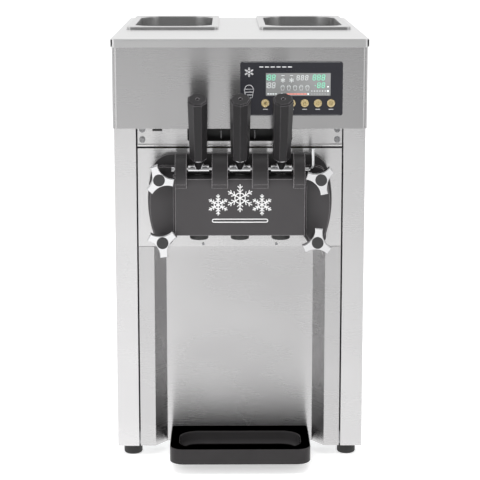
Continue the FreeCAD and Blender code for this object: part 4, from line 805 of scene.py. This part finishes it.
def switch_well():
    """Pressed well behind the slot in the upper plate, black as painted shade inside the slot, with micro
    switches and their blades in it.

    Depths are counted from the back of the plate.
    """
    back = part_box("upper_plate")[1].y
    work = bmesh.new()
    faces = cuboid(work, (-WELL_HALF, back + 0.1 * MM, WELL_LOW), (WELL_HALF, back + 30 * MM, WELL_HIGH))
    bmesh.ops.delete(work, geom=[faces["front"]], context="FACES_ONLY")
    # The well's black stands for the shade inside the slot: painted shade.
    well = made("switch_well", work, "cabinet", "switch_plastic")
    thick = well.modifiers.new("Thick", "SOLIDIFY")
    thick.thickness = 1.2 * MM
    thick.offset = 1
    blades = bmesh.new()
    cases = bmesh.new()
    for place in SWITCH_PLACES:
        cuboid(cases, (place - CASE_HALF, back + 15 * MM, CASE_LOW),
               (place + CASE_HALF, back + 25 * MM, CASE_HIGH))
        blade = cuboid(blades, (place - BLADE_HALF, back + 12 * MM, BLADE_LOW),
                       (place + BLADE_HALF, back + 12.5 * MM, BLADE_HIGH))
        # The lower end of a blade is narrower and bent to the front.
        for vert in set(blade["under"].verts):
            vert.co.x = place + (vert.co.x - place) * 0.55
            vert.co.y -= 9 * MM
    made("switch_cases", cases, "cabinet", "switch_plastic", 0.5 * MM)
    made("switch_blades", blades, "cabinet", "zinc_fasteners", 0.1 * MM)


# Distance from the axis and height of the rings of a screw's head, in radii of the head.
SCREW_RINGS = ((1.0, 0.0), (1.0, 0.25), (0.86, 0.44), (0.55, 0.56), (0.30, 0.60))
SCREW_RADIUS = 3.6 * MM


def pan_screw(work, place):
    """Domed screw in a bmesh with a dimple in its middle, its head standing out along +Y."""
    x, y, z = place
    radius, steps = SCREW_RADIUS, 20
    loops = []
    for share, rise in SCREW_RINGS:
        loop = []
        for index in range(steps):
            angle = 2 * math.pi * index / steps
            loop.append(work.verts.new((x + share * radius * math.cos(angle), y + rise * radius,
                                        z + share * radius * math.sin(angle))))
        loops.append(loop)
    for inner, outer in zip(loops, loops[1:]):
        for index in range(steps):
            following = (index + 1) % steps
            work.faces.new((inner[index], inner[following], outer[following], outer[index]))
    dimple = work.faces.new(loops[-1])
    bmesh.ops.inset_individual(work, faces=[dimple], thickness=radius * 0.06)
    bmesh.ops.translate(work, verts=dimple.verts, vec=(0, -0.4 * radius, 0))


def rear_screws():
    """Screws along the rear panel's edges."""
    low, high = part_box("rear_panel")
    work = bmesh.new()
    for side in (-1, 1):
        for row in range(5):
            pan_screw(work, (side * (high.x - 8 * MM), high.y, (45 + 155 * row) * MM))
    for across in (-95, 0, 95):
        for height in (low.z + 12 * MM, high.z - 12 * MM):
            pan_screw(work, (across * MM, high.y, height))
    bmesh.ops.recalc_face_normals(work, faces=work.faces)
    made("rear_screws", work, "cabinet", "zinc_fasteners")


# The handles' pivot, their lean to the front in degrees, and how far up a handle its collar sits.
PIVOT_Y, PIVOT_Z = FRONT - 35 * MM, 503 * MM
GRIP_LEAN = 33
COLLAR_UP = 26.4 * MM


def grip_collars():
    """Bright rolled rim where each chrome socket meets its grip."""
    lean = math.radians(GRIP_LEAN)
    axis = Vector((0, -math.sin(lean), math.cos(lean)))
    beside = Vector((1, 0, 0))
    ahead = axis.cross(beside)
    ring, rim = 11.4 * MM, 1.5 * MM
    steps, parts = 40, 12
    for side in HANDLES:
        low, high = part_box(f"handle_fork_{side}")
        middle = Vector(((low.x + high.x) / 2, PIVOT_Y, PIVOT_Z)) + axis * COLLAR_UP
        work = bmesh.new()
        loops = []
        for turn in range(steps):
            angle = 2 * math.pi * turn / steps
            outward = beside * math.cos(angle) + ahead * math.sin(angle)
            loop = []
            for part in range(parts):
                swing = 2 * math.pi * part / parts
                edge = outward * (ring + rim * math.cos(swing)) + axis * rim * math.sin(swing)
                loop.append(work.verts.new(middle + edge))
            loops.append(loop)
        for turn in range(steps):
            near, far = loops[turn], loops[(turn + 1) % steps]
            for part in range(parts):
                following = (part + 1) % parts
                work.faces.new((near[part], far[part], far[following], near[following]))
        bmesh.ops.recalc_face_normals(work, faces=work.faces)
        collar = made(f"grip_collar_{side}", work, BODY_OF[f"handle_fork_{side}"], "chrome_fittings")
        shade(collar.data)


display_face()
panel_print()
button_marks()
door_emblem()
switch_well()
rear_screws()
grip_collars()


# ---------------------------------------------------------------- stage, light and camera

# Where the light of a card goes from its left share to its right one.
CARD_MIDDLE = (-0.5, 0.5)
# What the lights are aimed at.
AIM = Vector((0, 0, 0.4))


def plain_card(name, corners, tint, strength, ends=(1.0, 1.0)):
    """A flat card of the studio with its own light; ends are its shares of it to the left and right."""
    mesh = bpy.data.meshes.new(name)
    mesh.from_pydata(corners, [], [tuple(range(len(corners)))])
    item = linked(name, mesh)
    paint = Paint(f"{name}Paint")
    grain = paint.noise(3.0, detail=2)
    paint.colour(paint.mix(grain, tint, scaled(tint, 0.97)))
    paint.set(Roughness=0.7, Emission_Strength=strength)
    left, right = ((end,) * 3 for end in ends)
    light = paint.mix(paint.smooth_step("X", *CARD_MIDDLE), left, right)
    paint.wire(light, paint.shader.inputs["Emission Color"])
    dress(item, paint.material)
    return item


def square(reach, height, middle=(0, 0)):
    """Corners of a level square around its middle."""
    x, y = middle
    return [(x - reach, y - reach, height), (x + reach, y - reach, height),
            (x + reach, y + reach, height), (x - reach, y + reach, height)]


def reflected_only(card):
    """The card shows in reflections and nowhere else, as a flag or a bounce card beside a set does."""
    card.visible_camera = False
    card.visible_diffuse = False
    card.visible_shadow = False
    card.visible_transmission = False


def stage():
    """White floor for the eye. The steel reflects another one just above it, and two dark flags."""
    floor = plain_card("Floor", square(30, 0), (0.92, 0.92, 0.92), 0.42)
    floor.visible_glossy = False
    near_floor = plain_card("FloorNear", square(4.0, 0.6 * MM, (0, -1.1)), (0, 0, 0), 1.30, (1.0, 0.80))
    reflected_only(near_floor)
    for side in (-1, 1):
        # A flag starts beside a front corner of the machine and runs away sideways and to the front.
        along = Vector((0.935 * side, -0.35, 0))
        across = Vector((0.35 * side, 0.935, 0))
        near = Vector((0.36 * side, -0.36, 1.2 * MM))
        far = near + along * 1.3
        corners = [near - across * 0.06, far - across * 0.3, far + across * 0.3, near + across * 0.12]
        reflected_only(plain_card(f"Flag_{side + 1}", corners, (0.02, 0.02, 0.02), 0.0))


def soft_light(name, place, size, power):
    """A white area light aimed at the machine, which does not show in reflections."""
    data = bpy.data.lights.new(name, "AREA")
    data.shape = "RECTANGLE"
    data.size, data.size_y = size
    data.energy = power
    lamp = linked(name, data)
    lamp.location = place
    lamp.rotation_euler = (AIM - Vector(place)).to_track_quat("-Z", "Y").to_euler()
    lamp.visible_glossy = False


# The studio by direction, from -1 to 1: brightness across it, then the shares of white of its rear wall and
# its ceiling, which leans to the rear.
SOFTBOXES = (
    (-1.0, 0.25), (-0.93, 0.28), (-0.85, 1.1), (-0.46, 1.15), (-0.38, 0.12),
    (-0.22, 0.12), (-0.12, 0.32), (0.02, 0.28), (0.12, 0.14), (0.22, 0.08),
    (0.40, 0.10), (0.48, 1.0), (0.80, 1.0), (0.88, 0.20), (1.0, 0.18),
)
REAR_WALL = ((-1.0, 0.0), (-0.25, 0.0), (0.35, 1.0), (1.0, 1.0))
CEILING = ((-1.0, 0.0), (0.30, 0.0), (0.62, 1.0), (1.0, 1.0))
CEILING_LEAN = 0.55


def world():
    """A studio with a white rear wall and rear ceiling, and a front wall of softboxes between dark gaps."""
    studio = bpy.data.worlds.new("Studio")
    bpy.context.scene.world = studio
    studio.use_nodes = True
    tree = studio.node_tree

    def ramp(source, stops):
        """Greys over (direction, grey) stops, directions going from -1 to 1."""
        item = add_node(tree, "ShaderNodeValToRGB")
        fill_ramp(item, [((place + 1) / 2, grey) for place, grey in stops])
        unit = add_node(tree, "ShaderNodeMapRange")
        unit.inputs["From Min"].default_value = -1
        tree.links.new(source, unit.inputs["Value"])
        tree.links.new(unit.outputs["Result"], item.inputs["Fac"])
        return item.outputs["Color"]

    def whitened(factor, source):
        """The source colour, mixed towards white by the factor."""
        item = add_node(tree, "ShaderNodeMix", data_type="RGBA", blend_type="MIX")
        tree.links.new(factor, item.inputs[MIX_FACTOR])
        tree.links.new(source, item.inputs[MIX_FIRST])
        item.inputs[MIX_SECOND].default_value = (1, 1, 1, 1)
        return item.outputs[MIX_COLOUR]

    axes = add_node(tree, "ShaderNodeSeparateXYZ")
    direction = add_node(tree, "ShaderNodeTexCoord").outputs["Generated"]
    tree.links.new(direction, axes.inputs["Vector"])
    across, along, up = axes.outputs
    lean = add_node(tree, "ShaderNodeMath", operation="MULTIPLY_ADD")
    lean.inputs[1].default_value = CEILING_LEAN
    tree.links.new(along, lean.inputs[0])
    tree.links.new(up, lean.inputs[2])
    walls = whitened(ramp(along, REAR_WALL), ramp(across, SOFTBOXES))
    room = whitened(ramp(lean.outputs[0], CEILING), walls)
    tree.links.new(room, tree.nodes["Background"].inputs["Color"])


def lights():
    """A large box overhead and a smaller one at the front left."""
    soft_light("TopBox", (0, -0.5, 2.6), (2.4, 2.0), 34)
    soft_light("FrontFill", (-0.9, -3.2, 1.9), (1.6, 1.2), 36)


CAMERA_PLACE = (-0.0212, -2.914, 0.908)
CAMERA_DOWN, CAMERA_RIGHT = 0.177, 0.008


def camera():
    """A long lens before the machine, higher than it and a little left of its middle, looking down."""
    data = bpy.data.cameras.new("Camera")
    data.sensor_width = 36.0
    data.lens = 122.4
    data.shift_y = -0.06
    data.clip_end = 50
    item = linked("Camera", data)
    item.location = CAMERA_PLACE
    item.rotation_euler = (math.radians(90) - CAMERA_DOWN, 0, -CAMERA_RIGHT)
    bpy.context.scene.camera = item


stage()
world()
lights()
camera()
bpy.context.scene.view_settings.view_transform = "Standard"
